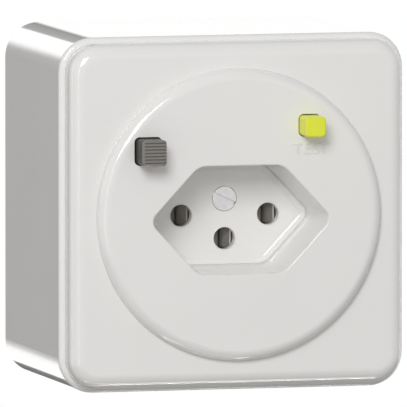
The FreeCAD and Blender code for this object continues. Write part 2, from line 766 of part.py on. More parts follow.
def insert_base():
    """Build the insulating tub behind the strap."""
    body = new_body("insert_base")
    outline = new_sketch(body, "base_outline", "base_back_depth")
    rounded_rectangle(outline, "base_side", "base_side", "2")
    pad(body, "base_block", outline, f"{BASE_FRONT} - base_back_depth")
    inside = new_sketch(body, "base_inside", BASE_FRONT)
    rounded_rectangle(inside, f"2 * {BASE_INNER}", f"2 * {BASE_INNER}", "1")
    pocket(body, "base_hollow", inside, f"{BASE_FRONT} - {BASE_FLOOR}")
    posts = new_sketch(body, "post_outlines", BASE_FLOOR)
    for x, z in corners():
        circle(posts, x, z, "post_diameter")
    pad(body, "screw_posts", posts, f"{BASE_FRONT} - {BASE_FLOOR}")
    stands = new_sketch(body, "stand_outlines", BASE_FLOOR)
    for side in ("-", ""):
        for rise in ("board_bottom + 3", "board_bottom + 13"):
            rectangle(stands, "3", "3", f"{side}({BASE_INNER} - 3)", rise)
    pad(body, "board_stands", stands, "board_stand")
    bores = new_sketch(body, "post_bores", BASE_FRONT)
    for x, z in corners():
        circle(bores, x, z, "base_screw_shank + 2 * thread_clearance")
    pocket(body, "screw_bores", bores, "base_screw_length")
    entries = new_sketch(body, "wire_entries", BASE_FLOOR)
    for x in terminal_places():
        circle(entries, x, "terminal_rise", "wire_hole + 2 * running_gap")
    pocket(body, "wire_holes", entries, "base_wall")
    access = new_sketch(body, "screw_access", "-base_side / 2", "XY_Plane")
    depth = f"({TERMINAL_BACK} + terminal_side / 2)"
    for x in terminal_places():
        circle(access, x, f"-{depth}", "terminal_screw_head + 2 * running_gap")
    pocket(body, "screw_windows", access, "base_wall", forward=True)


def insert_cover():
    """Build the insulating front of the insert with its three contact chambers."""
    half = f"{COVER_SIDE} / 2"
    plate = block(f"-{half}", half, STRAP_FRONT, WELL_BACK, f"-{half}", half)
    chambers = block("-chamber_half_width", "chamber_half_width", CHAMBER_BACK, STRAP_FRONT,
                     "chamber_bottom", "chamber_top")
    pivot = ("latch_pivot_offset", "latch_pivot_rise")
    boss = rod(*pivot, f"{LATCH_FRONT} + running_gap", STRAP_FRONT, "latch_hub")
    tools = [rod(*pivot, LATCH_BACK, f"{STRAP_FRONT} - 4", "latch_pin + 2 * thread_clearance")]
    pins = [(PIN_OFFSET, "recess_rise"), (f"-{PIN_OFFSET}", "recess_rise"), ("0", EARTH_RISE)]
    for x, z in pins:
        tools.append(rod(x, z, CHAMBER_BACK, WELL_BACK, "pin_hole + 2 * running_gap"))
        tools.append(block(*about(x, "chamber_side"), CHAMBER_BACK, f"{LEAF_FRONT} + running_gap",
                           *about(z, "chamber_side")))
    for name in ("reset", "probe"):
        tools.append(rod(*button_place(name), STRAP_FRONT, WELL_BACK, f"{name}_stem + 2 * running_gap"))
    for x, z in corners():
        tools.append(rod(x, z, STRAP_FRONT, WELL_BACK, "base_screw_shank + 2 * running_gap"))
    bush_back = f"{WELL_BACK} - bush_length"
    tools.append(rod("0", "centre_screw_rise", bush_back, WELL_BACK, "bush_diameter + 2 * thread_clearance"))
    keep("insert_cover", less(joined([plate, chambers, boss]), tools))


# Screws


def slotted_screw(x, z, head_back, head, head_height, shank, length, angle="0"):
    """Make one slotted screw that is driven from the front."""
    head_front = f"{head_back} + {head_height}"
    thread = rod(x, z, f"{head_back} - {length}", head_back, shank)
    solid = joined([rod(x, z, head_back, head_front, head), thread])
    slot = DOC.addObject("Part::Box", "Slot")
    slot.Placement.Rotation = FreeCAD.Rotation(FreeCAD.Vector(0, 1, 0), value(angle))
    turn = f"({angle})"
    bind(slot, Length=head, Width="slot_depth", Height="slot_width")
    bind(slot,
         Placement__Base__x=f"{x} - cos({turn}) * {head} / 2 - sin({turn}) * slot_width / 2",
         Placement__Base__y=f"-({head_front})",
         Placement__Base__z=f"{z} + sin({turn}) * {head} / 2 - cos({turn}) * slot_width / 2")
    return less(solid, [slot])


def screws():
    """Build the centre screw, its bush, the strap screws and the insert screws."""
    head_back = f"({FLOOR} - centre_screw_head_height)"
    length = f"({head_back} - {WELL_BACK} + bush_length - running_gap)"
    keep("centre_screw", slotted_screw("0", "centre_screw_rise", head_back, "centre_screw_head",
                                       "centre_screw_head_height", "centre_screw_shank",
                                       length, "slot_angle"))
    sleeve = rod("0", "centre_screw_rise", f"{WELL_BACK} - bush_length", WELL_BACK, "bush_diameter")
    bore = rod("0", "centre_screw_rise", f"{WELL_BACK} - bush_length", WELL_BACK,
               "centre_screw_shank + 2 * thread_clearance")
    keep("threaded_bush", less(sleeve, [bore]))
    strap = [slotted_screw(f"{side}{BOSS_SPACING} / 2", "0", STRAP_FRONT, "strap_screw_head",
                           "strap_screw_head_height", "strap_screw_shank", "strap_screw_length")
             for side in ("-", "")]
    keep_group("strap_screws", strap)
    fixing = [slotted_screw(x, z, WELL_BACK, "base_screw_head", "base_screw_head_height",
                            "base_screw_shank", "base_screw_length") for x, z in corners()]
    keep_group("insert_screws", fixing)


# Socket contacts, terminals and conductors


def leaves(x, z):
    """Make the two spring leaves that grip a pin, and the web that joins them."""
    half = "leaf_gap / 2"
    low, high = f"{z} - leaf_height / 2", f"{z} + leaf_height / 2"
    left = block(f"{x} - {half} - leaf_metal", f"{x} - {half}", CONTACT_FRONT, LEAF_FRONT, low, high)
    right = block(f"{x} + {half}", f"{x} + {half} + leaf_metal", CONTACT_FRONT, LEAF_FRONT, low, high)
    return [left, right]


def web(x, bottom, top):
    """Make the flat strip behind a contact's leaves."""
    width = "leaf_gap + 2 * leaf_metal"
    return block(*about(x, width), "contact_depth", CONTACT_FRONT, bottom, top)


def tip(x, back, front):
    """Make a square contact tip."""
    return block(*about(x, "tip_side"), back, front, *about("bridge_rise", "tip_side"))


def fixed_tip(x):
    """Make a contact tip that stands on the back of a contact strip."""
    return tip(x, "contact_depth - tip_height", "contact_depth")


def contacts():
    """Build the three socket contacts; line and neutral reach up to the switch."""
    top = "bridge_rise + tip_side / 2 + bridge_overlap"
    for name, side in (("line", ""), ("neutral", "-")):
        x = f"{side}{PIN_OFFSET}"
        low = "recess_rise - leaf_height / 2"
        keep(f"{name}_contact", joined([*leaves(x, "recess_rise"), web(x, low, top), fixed_tip(x)]))
    low = "terminal_rise - terminal_side / 2"
    high = f"{EARTH_RISE} + leaf_height / 2"
    keep("earth_contact", joined([*leaves("0", EARTH_RISE), web("0", low, high)]))


def feed_contacts():
    """Build the two strips that lead from the conductors to the switch."""
    for name, side in (("line", 1), ("neutral", -1)):
        inner, outer = about("feed_offset", "feed_width")
        near = "conductor_offset - 0.6"
        span = [(near, outer), (f"-({outer})", f"-({near})")][side < 0]
        head = [(inner, outer), (f"-({outer})", f"-({inner})")][side < 0]
        middle = "feed_offset" if side > 0 else "-feed_offset"
        riser = block(*span, "conductor_depth - 1", CONTACT_FRONT, FEED_RISE, f"{FEED_RISE} + metal")
        top = "bridge_rise + tip_side / 2 + bridge_overlap"
        strip = block(*head, "contact_depth", CONTACT_FRONT, FEED_RISE, top)
        keep(f"{name}_feed", joined([riser, strip, fixed_tip(middle)]))


def terminals():
    """Build the three terminal blocks and their screws."""
    half = "terminal_side / 2"
    depth = f"({TERMINAL_BACK} + {half})"
    driven = []
    for name, x in zip(("neutral", "earth", "line"), terminal_places()):
        low, high = about("terminal_rise", "terminal_side")
        body = block(*about(x, "terminal_side"), TERMINAL_BACK, "contact_depth", low, high)
        wire = rod(x, "terminal_rise", TERMINAL_BACK, "contact_depth - 3", "wire_hole")
        threaded = post(x, depth, low, "terminal_rise", "terminal_screw_shank + 2 * thread_clearance")
        keep(f"{name}_terminal", less(body, [wire, threaded]))
        shank = post(x, depth, low, "terminal_rise - wire_hole / 2", "terminal_screw_shank")
        head = post(x, depth, "-base_side / 2 + 0.4", low, "terminal_screw_head")
        driven.append(joined([shank, head]))
    keep_group("terminal_screws", driven)


def conductor(name, side):
    """Build one flat-sided conductor from its terminal through the core up to the switch's feed strip."""
    half, start = "conductor_side / 2", "(terminal_rise + terminal_side / 2)"
    turn = f"({start} + 1.5)"
    far, near = "(terminal_spacing - 2)", "conductor_offset"
    across = [(f"{near} - {half}", f"{far} + {half}"), (f"-{far} - {half}", f"-{near} + {half}")][side < 0]
    sign = "-" if side < 0 else ""
    deep = ("conductor_depth - conductor_side / 2", "conductor_depth + conductor_side / 2")
    keep(f"{name}_conductor", joined([
        block(f"{sign}{far} - {half}", f"{sign}{far} + {half}", *deep, start, f"{turn} + {half}"),
        block(*across, *deep, f"{turn} - {half}", f"{turn} + {half}"),
        block(f"{sign}{near} - {half}", f"{sign}{near} + {half}", *deep, f"{turn} - {half}", FEED_RISE),
    ]))


# Residual-current sensing


def ring(outer, inner, bottom, top, turn="360"):
    """Make an upright ring, or a sector of one, at the conductors' depth."""
    solid = post("0", "conductor_depth", bottom, top, outer, turn)
    return less(solid, [post("0", "conductor_depth", bottom, top, inner)])


def transformer():
    """Build the summation transformer's core and the winding laid round it."""
    bottom, top = "core_rise - core_height / 2", "core_rise + core_height / 2"
    keep("transformer_core", ring("core_outer", "core_inner", bottom, top))
    wide, narrow = "core_outer + 2 * winding_thickness", "core_inner - 2 * winding_thickness"
    low, high = f"{bottom} - winding_thickness", f"{top} + winding_thickness"
    coil = ring(wide, narrow, low, high, "winding_angle")
    keep("secondary_winding", less(coil, [ring("core_outer", "core_inner", bottom, top)]))


def circuit_board():
    """Build the board with notches for the tub's posts, and the parts that stand on it."""
    body = new_body("circuit_board")
    outline = new_sketch(body, "board_outline", BOARD_BACK)
    wide, top = f"({BASE_INNER} - 0.6)", f"({BASE_INNER} - 0.4)"
    notch = f"({POST} - post_diameter / 2 - 0.4)"
    polygon(outline, [
        (f"-{wide}", "board_bottom"), (wide, "board_bottom"), (wide, notch), (notch, notch),
        (notch, top), (f"-{notch}", top), (f"-{notch}", notch), (f"-{wide}", notch),
    ])
    pad(body, "board", outline, "board_thickness")


def board_parts():
    """Build the chip, capacitor, varistor and resistor that stand on the board."""
    chip_front = f"{BOARD_FRONT} + chip_thickness"
    keep("control_chip", block(*about("chip_offset", "chip_width"), BOARD_FRONT, chip_front,
                               *about("chip_rise", "chip_height")))
    keep("filter_capacitor", rod("capacitor_offset", "capacitor_rise", BOARD_FRONT,
                                 f"{BOARD_FRONT} + capacitor_height", "capacitor_diameter"))
    keep("varistor", bar(*about("varistor_offset", "varistor_thickness"),
                         f"{BOARD_FRONT} + varistor_diameter / 2", "varistor_rise", "varistor_diameter"))
    keep("test_resistor", post("resistor_offset", f"{BOARD_FRONT} + resistor_diameter / 2",
                               *about("resistor_rise", "resistor_length"), "resistor_diameter"))


def test_contacts():
    """Build the bridge on the test button's stem and the two pads it meets."""
    x, z = button_place("probe")
    back = f"({TEST_STEM_END} - leaf_metal)"
    keep("test_bridge", block(*about(x, "test_bridge_length"), back, TEST_STEM_END,
                              *about(z, "test_bridge_height")))
    front = f"{back} - probe_travel - tip_gap"
    pads = [rod(pad_x, z, BOARD_FRONT, front, "test_pad_diameter") for pad_x in about(x, "test_pad_spacing")]
    keep_group("test_pads", pads)


# Switch and trip


def switch():
    """Build the sliding contact carrier, its two contact bridges and their tips."""
    x, z = button_place("reset")
    half = "carrier_height / 2"
    beam = block(f"{x} + 1", f"{PIN_OFFSET} + 3.5", CARRIER_DEPTH, CARRIER_FRONT,
                 f"bridge_rise - {half}", f"bridge_rise + {half} - 0.4")
    foot = rod(x, z, CARRIER_DEPTH, CARRIER_FRONT, "5")
    keep("contact_carrier", joined([beam, foot]))
    low, high = about("bridge_rise", "bridge_height")
    ends = "feed_offset - tip_side / 2 - 0.5", f"{PIN_OFFSET} + tip_side / 2 + bridge_overlap"
    bridges = [block(ends[0], ends[1], CARRIER_FRONT, BRIDGE_FRONT, low, high),
               block(f"-({ends[1]})", f"-({ends[0]})", CARRIER_FRONT, BRIDGE_FRONT, low, high)]
    keep_group("contact_bridges", bridges)
    tips = [tip(place_x, BRIDGE_FRONT, TIPS_FRONT)
            for place_x in ("feed_offset", "-feed_offset", PIN_OFFSET, f"-{PIN_OFFSET}")]
    keep_group("moving_tips", tips)
    length = f"{CARRIER_DEPTH} - {BOARD_FRONT} - 2 * spring_gap"
    start = f"{CARRIER_DEPTH} - spring_gap"
    spring("carrier_spring", "carrier_spring_radius", length, 2.5, "0", start, "bridge_rise")


def trip_coil():
    """Build the trip magnet: bobbin, winding and yoke."""
    left, right = COIL_LEFT, COIL_RIGHT
    place_x = ("coil_depth", "coil_rise")
    tube = bar(left, right, *place_x, "bobbin_tube")
    square = (*about("coil_depth", "flange_side"), *about("coil_rise", "flange_side"))
    flanges = [block(left, f"{left} + flange_thickness", *square),
               block(f"{right} - flange_thickness", right, *square)]
    bore = bar(left, right, *place_x, "plunger_diameter + 2 * running_gap")
    keep("trip_bobbin", less(joined([tube, *flanges]), [bore]))
    inside = (f"{left} + flange_thickness", f"{right} - flange_thickness")
    core = bar(*inside, *place_x, "bobbin_tube")
    keep("trip_winding", less(bar(*inside, *place_x, "coil_diameter"), [core]))
    low, high = "coil_rise - flange_side / 2", BASE_INNER
    span = about("coil_depth", "yoke_width")
    ends = [block(f"{left} - yoke_metal", left, *span, low, high),
            block(right, f"{right} + yoke_metal", *span, low, high)]
    roof = block(left, right, *span, f"{BASE_INNER} - yoke_metal", BASE_INNER)
    hole = bar(f"{left} - yoke_metal", left, *place_x, "plunger_diameter + 2 * running_gap")
    keep("trip_yoke", less(joined([roof, *ends]), [hole]))


def trip_plunger():
    """Build the plunger with the groove that draws the latch, and its return spring."""
    place_x = ("coil_depth", "coil_rise")
    head = "(plunger_diameter + 1.4)"
    neck_right = f"({GROOVE_LEFT} + plunger_groove)"
    collar_right = f"({neck_right} + 0.8)"
    rod_end = f"{COIL_RIGHT} - plunger_travel - 1"
    keep("trip_plunger", joined([
        bar(f"{GROOVE_LEFT} - 0.8", GROOVE_LEFT, *place_x, head),
        bar(GROOVE_LEFT, neck_right, *place_x, "plunger_neck"),
        bar(neck_right, collar_right, *place_x, head),
        bar(collar_right, rod_end, *place_x, "plunger_diameter"),
    ]))
    length = f"{COIL_LEFT} - yoke_metal - {collar_right} - 2 * spring_gap"
    spring("plunger_spring", "1.75", length, 3, f"{collar_right} + spring_gap", "coil_depth", "coil_rise",
           FreeCAD.Rotation(FreeCAD.Vector(0, 0, 1), -90))


def trip_latch():
    """Build the latch lever, which bites the reset stem, and the pin it turns on."""
    px, pz = "latch_pivot_offset", "latch_pivot_rise"
    body = new_body("trip_latch")
    lever = new_sketch(body, "latch_outline", LATCH_BACK)
    finger_left = f"({GROOVE_LEFT} + latch_play)"
    finger_right = f"({GROOVE_LEFT} + plunger_groove - latch_play)"
    bite = "(reset_offset + reset_stem / 2 - latch_bite)"
    hook = "reset_rise"
    polygon(lever, [
        (f"{px} - 0.9", pz), (f"{px} + 0.9", pz), (finger_right, f"{hook} + 1.4"),
        (finger_right, "coil_rise + 1"), (finger_left, "coil_rise + 1"), (finger_left, f"{hook} + 1.8"),
        (f"{px} - 0.4", f"{hook} + 0.7"), (bite, f"{hook} + 0.5"), (bite, f"{hook} - 0.5"),
        (f"{px} - 1.1", f"{hook} - 0.7"),
    ])
    pad(body, "latch_plate", lever, "latch_thickness")
    hub = new_sketch(body, "hub_outline", LATCH_BACK)
    circle(hub, px, pz, "latch_hub")
    pad(body, "latch_hub_disc", hub, "latch_thickness")
    eye = new_sketch(body, "eye_outline", LATCH_FRONT)
    circle(eye, px, pz, "latch_pin + 2 * thread_clearance")
    pocket(body, "latch_eye", eye, "latch_thickness")
    keep("latch_pin", rod(px, pz, f"{LATCH_BACK} - 0.3", f"{STRAP_FRONT} - 4", "latch_pin"))


def build():
    """Build every sub-part."""
    surface_box()
    cover_frame()
    centre_plate()
    reset_button()
    test_button()
    button_springs()
    support_strap()
    insert_base()
    insert_cover()
    screws()
    contacts()
    feed_contacts()
    terminals()
    conductor("line", 1)
    conductor("neutral", -1)
    transformer()
    circuit_board()
    board_parts()
    test_contacts()
    switch()
    trip_coil()
    trip_plunger()
    trip_latch()
    DOC.recompute()


def check():
    """Stop if any feature failed or any sub-part is not a valid solid."""
    for thing in DOC.Objects:
        if {"Invalid", "Error"} & set(thing.State):
            raise RuntimeError(f"{thing.Name} did not build: {thing.State}")
    for part in PARTS:
        if part.Shape.isNull() or not part.Shape.isValid() or not part.Shape.Solids:
            raise RuntimeError(f"{part.Label} has no valid solid")


def export():
    """Write each sub-part to its own STEP file."""
    os.makedirs("parts", exist_ok=True)
    for part in PARTS:
        part.Shape.exportStep(f"parts/{part.Label}.step")


fill_sheet()
build()
check()
export()
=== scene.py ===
import json
import math

import bmesh
import bpy
import numpy as np
from bpy.props import FloatProperty, FloatVectorProperty, PointerProperty, StringProperty
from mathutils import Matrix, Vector


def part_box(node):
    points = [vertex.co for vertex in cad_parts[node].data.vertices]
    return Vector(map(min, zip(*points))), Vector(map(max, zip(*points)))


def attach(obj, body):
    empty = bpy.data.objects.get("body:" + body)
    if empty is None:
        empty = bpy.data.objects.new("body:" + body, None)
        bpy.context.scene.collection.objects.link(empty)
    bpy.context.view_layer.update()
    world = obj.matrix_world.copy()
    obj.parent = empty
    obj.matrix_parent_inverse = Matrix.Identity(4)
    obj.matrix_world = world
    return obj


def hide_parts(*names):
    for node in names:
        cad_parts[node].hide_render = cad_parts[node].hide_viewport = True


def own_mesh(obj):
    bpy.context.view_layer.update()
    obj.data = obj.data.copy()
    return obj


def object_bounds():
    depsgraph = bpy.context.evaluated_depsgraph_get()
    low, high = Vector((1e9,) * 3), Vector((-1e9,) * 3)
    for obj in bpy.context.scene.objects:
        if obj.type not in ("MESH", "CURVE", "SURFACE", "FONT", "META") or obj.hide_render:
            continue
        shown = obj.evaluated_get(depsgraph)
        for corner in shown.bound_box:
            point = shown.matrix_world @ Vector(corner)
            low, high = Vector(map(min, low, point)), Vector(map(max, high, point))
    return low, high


# Dresses a surface-mounted socket outlet: mouldings, buttons, contacts and the works inside.
# Everything is in metres: +X right, +Z up, the wall plane is y = 0 and the front faces -Y.

bl_info = {
    "name": "Surface-mounted safety outlet",
    "version": (1, 0, 0),
    "blender": (4, 5, 0),
    "location": "View3D > Sidebar > Outlet",
    "description": "Dresses the outlet's mouldings, buttons, contacts and works, and lights it",
    "category": "Object",
}

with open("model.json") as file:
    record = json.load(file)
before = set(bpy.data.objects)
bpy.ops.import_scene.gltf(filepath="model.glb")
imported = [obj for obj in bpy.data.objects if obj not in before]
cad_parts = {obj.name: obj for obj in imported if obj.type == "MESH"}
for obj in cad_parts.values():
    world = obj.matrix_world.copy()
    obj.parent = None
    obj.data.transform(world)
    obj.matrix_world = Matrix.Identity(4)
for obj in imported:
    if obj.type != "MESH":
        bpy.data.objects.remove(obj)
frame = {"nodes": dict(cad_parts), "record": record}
CAD_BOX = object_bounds()
MM = 0.001
NODES = frame["nodes"]

# Pin holes as (x, z) of their middles, and the floor of the recess that they go through
PIN_HOLES = {"line": (9.5 * MM, -1.0 * MM), "neutral": (-9.5 * MM, -1.0 * MM), "earth": (0.0, -6.0 * MM)}
PIN_HOLE_RADIUS = 2.35 * MM
FLOOR_DEPTH = 41.2 * MM
FLOOR_BACK_DEPTH = 39.2 * MM

# Contact leaves: the round space that a leaf stays inside, and half its height where that allows it
LEAF_ROOM = 2.45 * MM
LEAF_HALF_HEIGHT = 2.2 * MM

# The raised word: its length, its shift from the test button's middle, the z of its middle and the
# radius of its edges
WORD_LENGTH = 8.0 * MM
WORD_SHIFT = 0.35 * MM
WORD_RISE = 13.72 * MM
WORD_EDGE = 0.05 * MM
CAPITAL = 0.7  # height of a capital letter over the size of its type

# Turns of each spring
TURNS = {"reset_spring": 4, "test_spring": 4, "carrier_spring": 2.5, "plunger_spring": 3}

# The key lamp: its distance, the side of its square and the point that it is aimed at, in metres
KEY_DISTANCE = 1.1
KEY_SIZE = 0.42
LAMP_AIM = (0, -0.03, 0)

# The floor: its radius, and where it starts and ends its fade to white, in metres
FLOOR_REACH = 0.7
FLOOR_FADE = (0.25, 0.62)

# Surroundings in the gloss: the level, or the setting that holds it, at each stop. The first list goes
# round +Z, in degrees from +Y toward +X, and the second goes up, by the z of the direction.
AROUND = (
    (-144, 1), (-143.4, "strip"), (-141, "strip"), (-140.4, 1), (-84.4, 1), (-83.6, "strip"),
    (-81.4, "strip"), (-80.6, 1), (-70, 1), (-55, "flag"), (-14, "flag"), (-11.8, "card"), (2.4, "card"),
    (2.9, "flag"), (13.3, "flag"), (14, 1.25), (60.8, 1.25), (61.5, "strip"), (63.5, "strip"),
    (64.2, 1.25), (80, 1),
)
UPWARD = (
    (-1, 0.3), (-0.964, 0.3), (-0.962, "strip"), (-0.952, "strip"), (-0.95, 0.3), (-0.4, 0.3),
    (-0.27, 1), (0.35, 1), (0.6, "roof"),
)


# Colours and nodes


def linear(code):
    """Turn an sRGB hex code into linear red, green, blue and alpha.

    A channel c is c / 12.92 up to 0.04045, and ((c + 0.055) / 1.055) to the power 2.4 above it.
    """
    channels = [int(code[i:i + 2], 16) / 255 for i in (0, 2, 4)]
    lit = [c / 12.92 if c <= 0.04045 else ((c + 0.055) / 1.055) ** 2.4 for c in channels]
    return (*lit, 1.0)


def add(tree, kind, inputs=None, **settings):
    """Add a node with its settings and links.

    An input that is given a node or a socket is linked to it, and any other is set.
    """
    new = tree.nodes.new(kind)
    for name, setting in settings.items():
        setattr(new, name, setting)
    for name, value in (inputs or {}).items():
        if isinstance(value, bpy.types.Node):
            value = next(socket for socket in value.outputs if socket.enabled)
        if isinstance(value, bpy.types.NodeSocket):
            tree.links.new(value, new.inputs[name])
        else:
            new.inputs[name].default_value = value
    return new


def new_material(name):
    """Start a material; give it, its empty node tree and the point on the object as a socket."""
    material = bpy.data.materials.new(name)
    material.use_nodes = True
    tree = material.node_tree
    tree.nodes.clear()
    return material, tree, add(tree, "ShaderNodeTexCoord").outputs["Object"]


# Finishes


def moulded_white(colour):
    """Urea moulding compound from a polished tool.

    The eye sees a clean, faintly warm white with a clear gloss, a very faint flow mottle 14 mm wide
    in the colour, and a soft waviness 6 mm long in its reflections.
    """
    material, tree, point = new_material("moulded_white_urea")
    mottle = add(tree, "ShaderNodeTexNoise", {
        "Vector": point, "Scale": 1 / (14 * MM), "Detail": 2.0})
    wave = add(tree, "ShaderNodeTexNoise", {"Vector": point, "Scale": 1 / (6 * MM), "Detail": 1.0})
    grain = add(tree, "ShaderNodeTexNoise", {"Vector": point, "Scale": 1 / (0.3 * MM), "Detail": 2.0})
    darker = tuple(channel * 0.965 for channel in colour)
    surface = add(tree, "ShaderNodeBsdfPrincipled", {
        "Base Color": add(tree, "ShaderNodeMix", {0: mottle, 6: (*darker, 1), 7: (*colour, 1)},
                          data_type="RGBA"),
        "Roughness": add(tree, "ShaderNodeMapRange", {"Value": grain, "To Min": 0.05, "To Max": 0.09}),
        "IOR": 1.52,
        "Normal": add(tree, "ShaderNodeBump", {"Height": wave, "Distance": 0.004 * MM}),
    })
    add(tree, "ShaderNodeOutputMaterial", {"Surface": surface})
    return material


def moulded_grey(colour):
    """ABS with a fine spark-eroded grain.

    The eye sees a warm grey with a broad soft sheen on its front. Its sides are painted shade: coloured at
    0.34 of the front's colour and given a lower specular level, as if the same plastic lay in shadow.
    """
    material, tree, point = new_material("moulded_warm_grey_abs")
    cloud = add(tree, "ShaderNodeTexNoise", {"Vector": point, "Scale": 1 / (3 * MM), "Detail": 2.0})
    depth = add(tree, "ShaderNodeSeparateXYZ", {0: point}).outputs["Y"]
    front = add(tree, "ShaderNodeMapRange", {
        "Value": depth, "From Min": -59.9 * MM, "From Max": -60.25 * MM})
    # 1 on the front face and 0 on the sides, where painted shade darkens the colour; the 3 mm cloud only
    # stirs the narrow edge between
    painted_shade_mask = add(tree, "ShaderNodeMath", {0: front, 1: cloud, 2: front}, operation="MULTIPLY_ADD")
    grain = add(tree, "ShaderNodeTexNoise", {"Vector": point, "Scale": 1 / (0.18 * MM), "Detail": 3.0})
    # Painted shade: the sides take 0.34 of the colour, as the same plastic in shadow
    darker = tuple(channel * 0.34 for channel in colour)
    surface = add(tree, "ShaderNodeBsdfPrincipled", {
        "Base Color": add(tree, "ShaderNodeMix", {0: painted_shade_mask, 6: (*darker, 1), 7: (*colour, 1)},
                          data_type="RGBA"),
        "Roughness": add(tree, "ShaderNodeMapRange", {"Value": grain, "To Min": 0.2, "To Max": 0.3}),
        "IOR": 1.53,
        # Painted shade as well: the sides reflect less than the front
        "Specular IOR Level": add(tree, "ShaderNodeMapRange", {
            "Value": front, "To Min": 0.03, "To Max": 0.3}),
        "Normal": add(tree, "ShaderNodeBump", {"Height": grain, "Distance": 0.008 * MM}),
    })
    add(tree, "ShaderNodeOutputMaterial", {"Surface": surface})
    return material


def moulded_lime(colour):
    """ABS with a bright yellow-green pigment: an even, slightly cloudy colour with a low gloss."""
    material, tree, point = new_material("moulded_yellow_green_abs")
    cloud = add(tree, "ShaderNodeTexNoise", {"Vector": point, "Scale": 1 / (2.5 * MM), "Detail": 2.0})
    grain = add(tree, "ShaderNodeTexNoise", {"Vector": point, "Scale": 1 / (0.2 * MM), "Detail": 3.0})
    darker = tuple(channel * 0.93 for channel in colour)
    surface = add(tree, "ShaderNodeBsdfPrincipled", {
        "Base Color": add(tree, "ShaderNodeMix", {0: cloud, 6: (*darker, 1), 7: (*colour, 1)},
                          data_type="RGBA"),
        "Roughness": add(tree, "ShaderNodeMapRange", {"Value": grain, "To Min": 0.26, "To Max": 0.36}),
        "IOR": 1.53,
        "Normal": add(tree, "ShaderNodeBump", {"Height": grain, "Distance": 0.006 * MM}),
    })
    add(tree, "ShaderNodeOutputMaterial", {"Surface": surface})
    return material


def thermoset():
    """Mineral-filled polyester, pressed: dull beige-grey with pale filler specks 0.6 mm apart."""
    material, tree, point = new_material("filled_polyester_thermoset")
    specks = add(tree, "ShaderNodeTexVoronoi", {"Vector": point, "Scale": 1 / (0.6 * MM)})
    mask = add(tree, "ShaderNodeMapRange", {
        "Value": specks.outputs["Distance"], "From Min": 0.12, "From Max": 0.3})
    dull = add(tree, "ShaderNodeTexNoise", {"Vector": point, "Scale": 1 / (1.0 * MM)})
    surface = add(tree, "ShaderNodeBsdfPrincipled", {
        "Base Color": add(tree, "ShaderNodeMix", {0: mask, 6: linear("C9C6BC"), 7: linear("B5B2A8")},
                          data_type="RGBA"),
        "Roughness": add(tree, "ShaderNodeMapRange", {"Value": dull, "To Min": 0.5, "To Max": 0.66}),
        "IOR": 1.55,
        "Normal": add(tree, "ShaderNodeBump", {"Height": mask, "Distance": 0.01 * MM}),
    })
    add(tree, "ShaderNodeOutputMaterial", {"Surface": surface})
    return material


def zinc_steel():
    """Mild steel with bright zinc plate: pale grey, a spangle 1.2 mm wide and fine upright scratches."""
    material, tree, point = new_material("zinc_plated_steel")
    spangle = add(tree, "ShaderNodeTexVoronoi", {"Vector": point, "Scale": 1 / (1.2 * MM)})
    along = add(tree, "ShaderNodeMapping", {"Vector": point, "Scale": (12, 1, 1)})
    scratches = add(tree, "ShaderNodeTexNoise", {"Vector": along, "Scale": 1 / (2.4 * MM), "Detail": 4.0})
    surface = add(tree, "ShaderNodeBsdfPrincipled", {
        "Base Color": add(tree, "ShaderNodeMix", {
            0: spangle.outputs["Distance"], 6: linear("CDCCCD"), 7: linear("DCDADB")}, data_type="RGBA"),
        "Metallic": 1.0,
        "Roughness": add(tree, "ShaderNodeMapRange", {"Value": scratches, "To Min": 0.24, "To Max": 0.4}),
        "Normal": add(tree, "ShaderNodeBump", {"Height": scratches, "Distance": 0.006 * MM}),
    })
    add(tree, "ShaderNodeOutputMaterial", {"Surface": surface})
    return material


def spring_steel():
    """Hard-drawn carbon steel wire: dark, with draw marks 0.12 mm apart that break up its highlights."""
    material, tree, point = new_material("drawn_spring_steel")
    marks = add(tree, "ShaderNodeTexNoise", {"Vector": point, "Scale": 1 / (0.12 * MM), "Detail": 3.0})
    surface = add(tree, "ShaderNodeBsdfPrincipled", {
        "Base Color": add(tree, "ShaderNodeMix", {0: marks, 6: linear("8C8D90"), 7: linear("A3A4A6")},
                          data_type="RGBA"),
        "Metallic": 1.0,
        "Roughness": add(tree, "ShaderNodeMapRange", {"Value": marks, "To Min": 0.25, "To Max": 0.4}),
    })
    add(tree, "ShaderNodeOutputMaterial", {"Surface": surface})
    return material


def contact_brass():
    """Rolled brass strip, tin flashed: greyish metal whose yellow comes through in 2 mm patches."""
    material, tree, point = new_material("tinned_contact_brass")
    worn = add(tree, "ShaderNodeTexNoise", {"Vector": point, "Scale": 1 / (2.2 * MM), "Detail": 3.0})
    along = add(tree, "ShaderNodeMapping", {"Vector": point, "Scale": (1, 10, 1)})
    rolled = add(tree, "ShaderNodeTexNoise", {"Vector": along, "Scale": 1 / (2.0 * MM), "Detail": 3.0})
    surface = add(tree, "ShaderNodeBsdfPrincipled", {
        "Base Color": add(tree, "ShaderNodeMix", {0: worn, 6: linear("C6C3BC"), 7: linear("C9BD9F")},
                          data_type="RGBA"),
        "Metallic": 1.0,
        "Roughness": add(tree, "ShaderNodeMapRange", {"Value": rolled, "To Min": 0.25, "To Max": 0.42}),
        "Normal": add(tree, "ShaderNodeBump", {"Height": rolled, "Distance": 0.006 * MM}),
    })
    add(tree, "ShaderNodeOutputMaterial", {"Surface": surface})
    return material


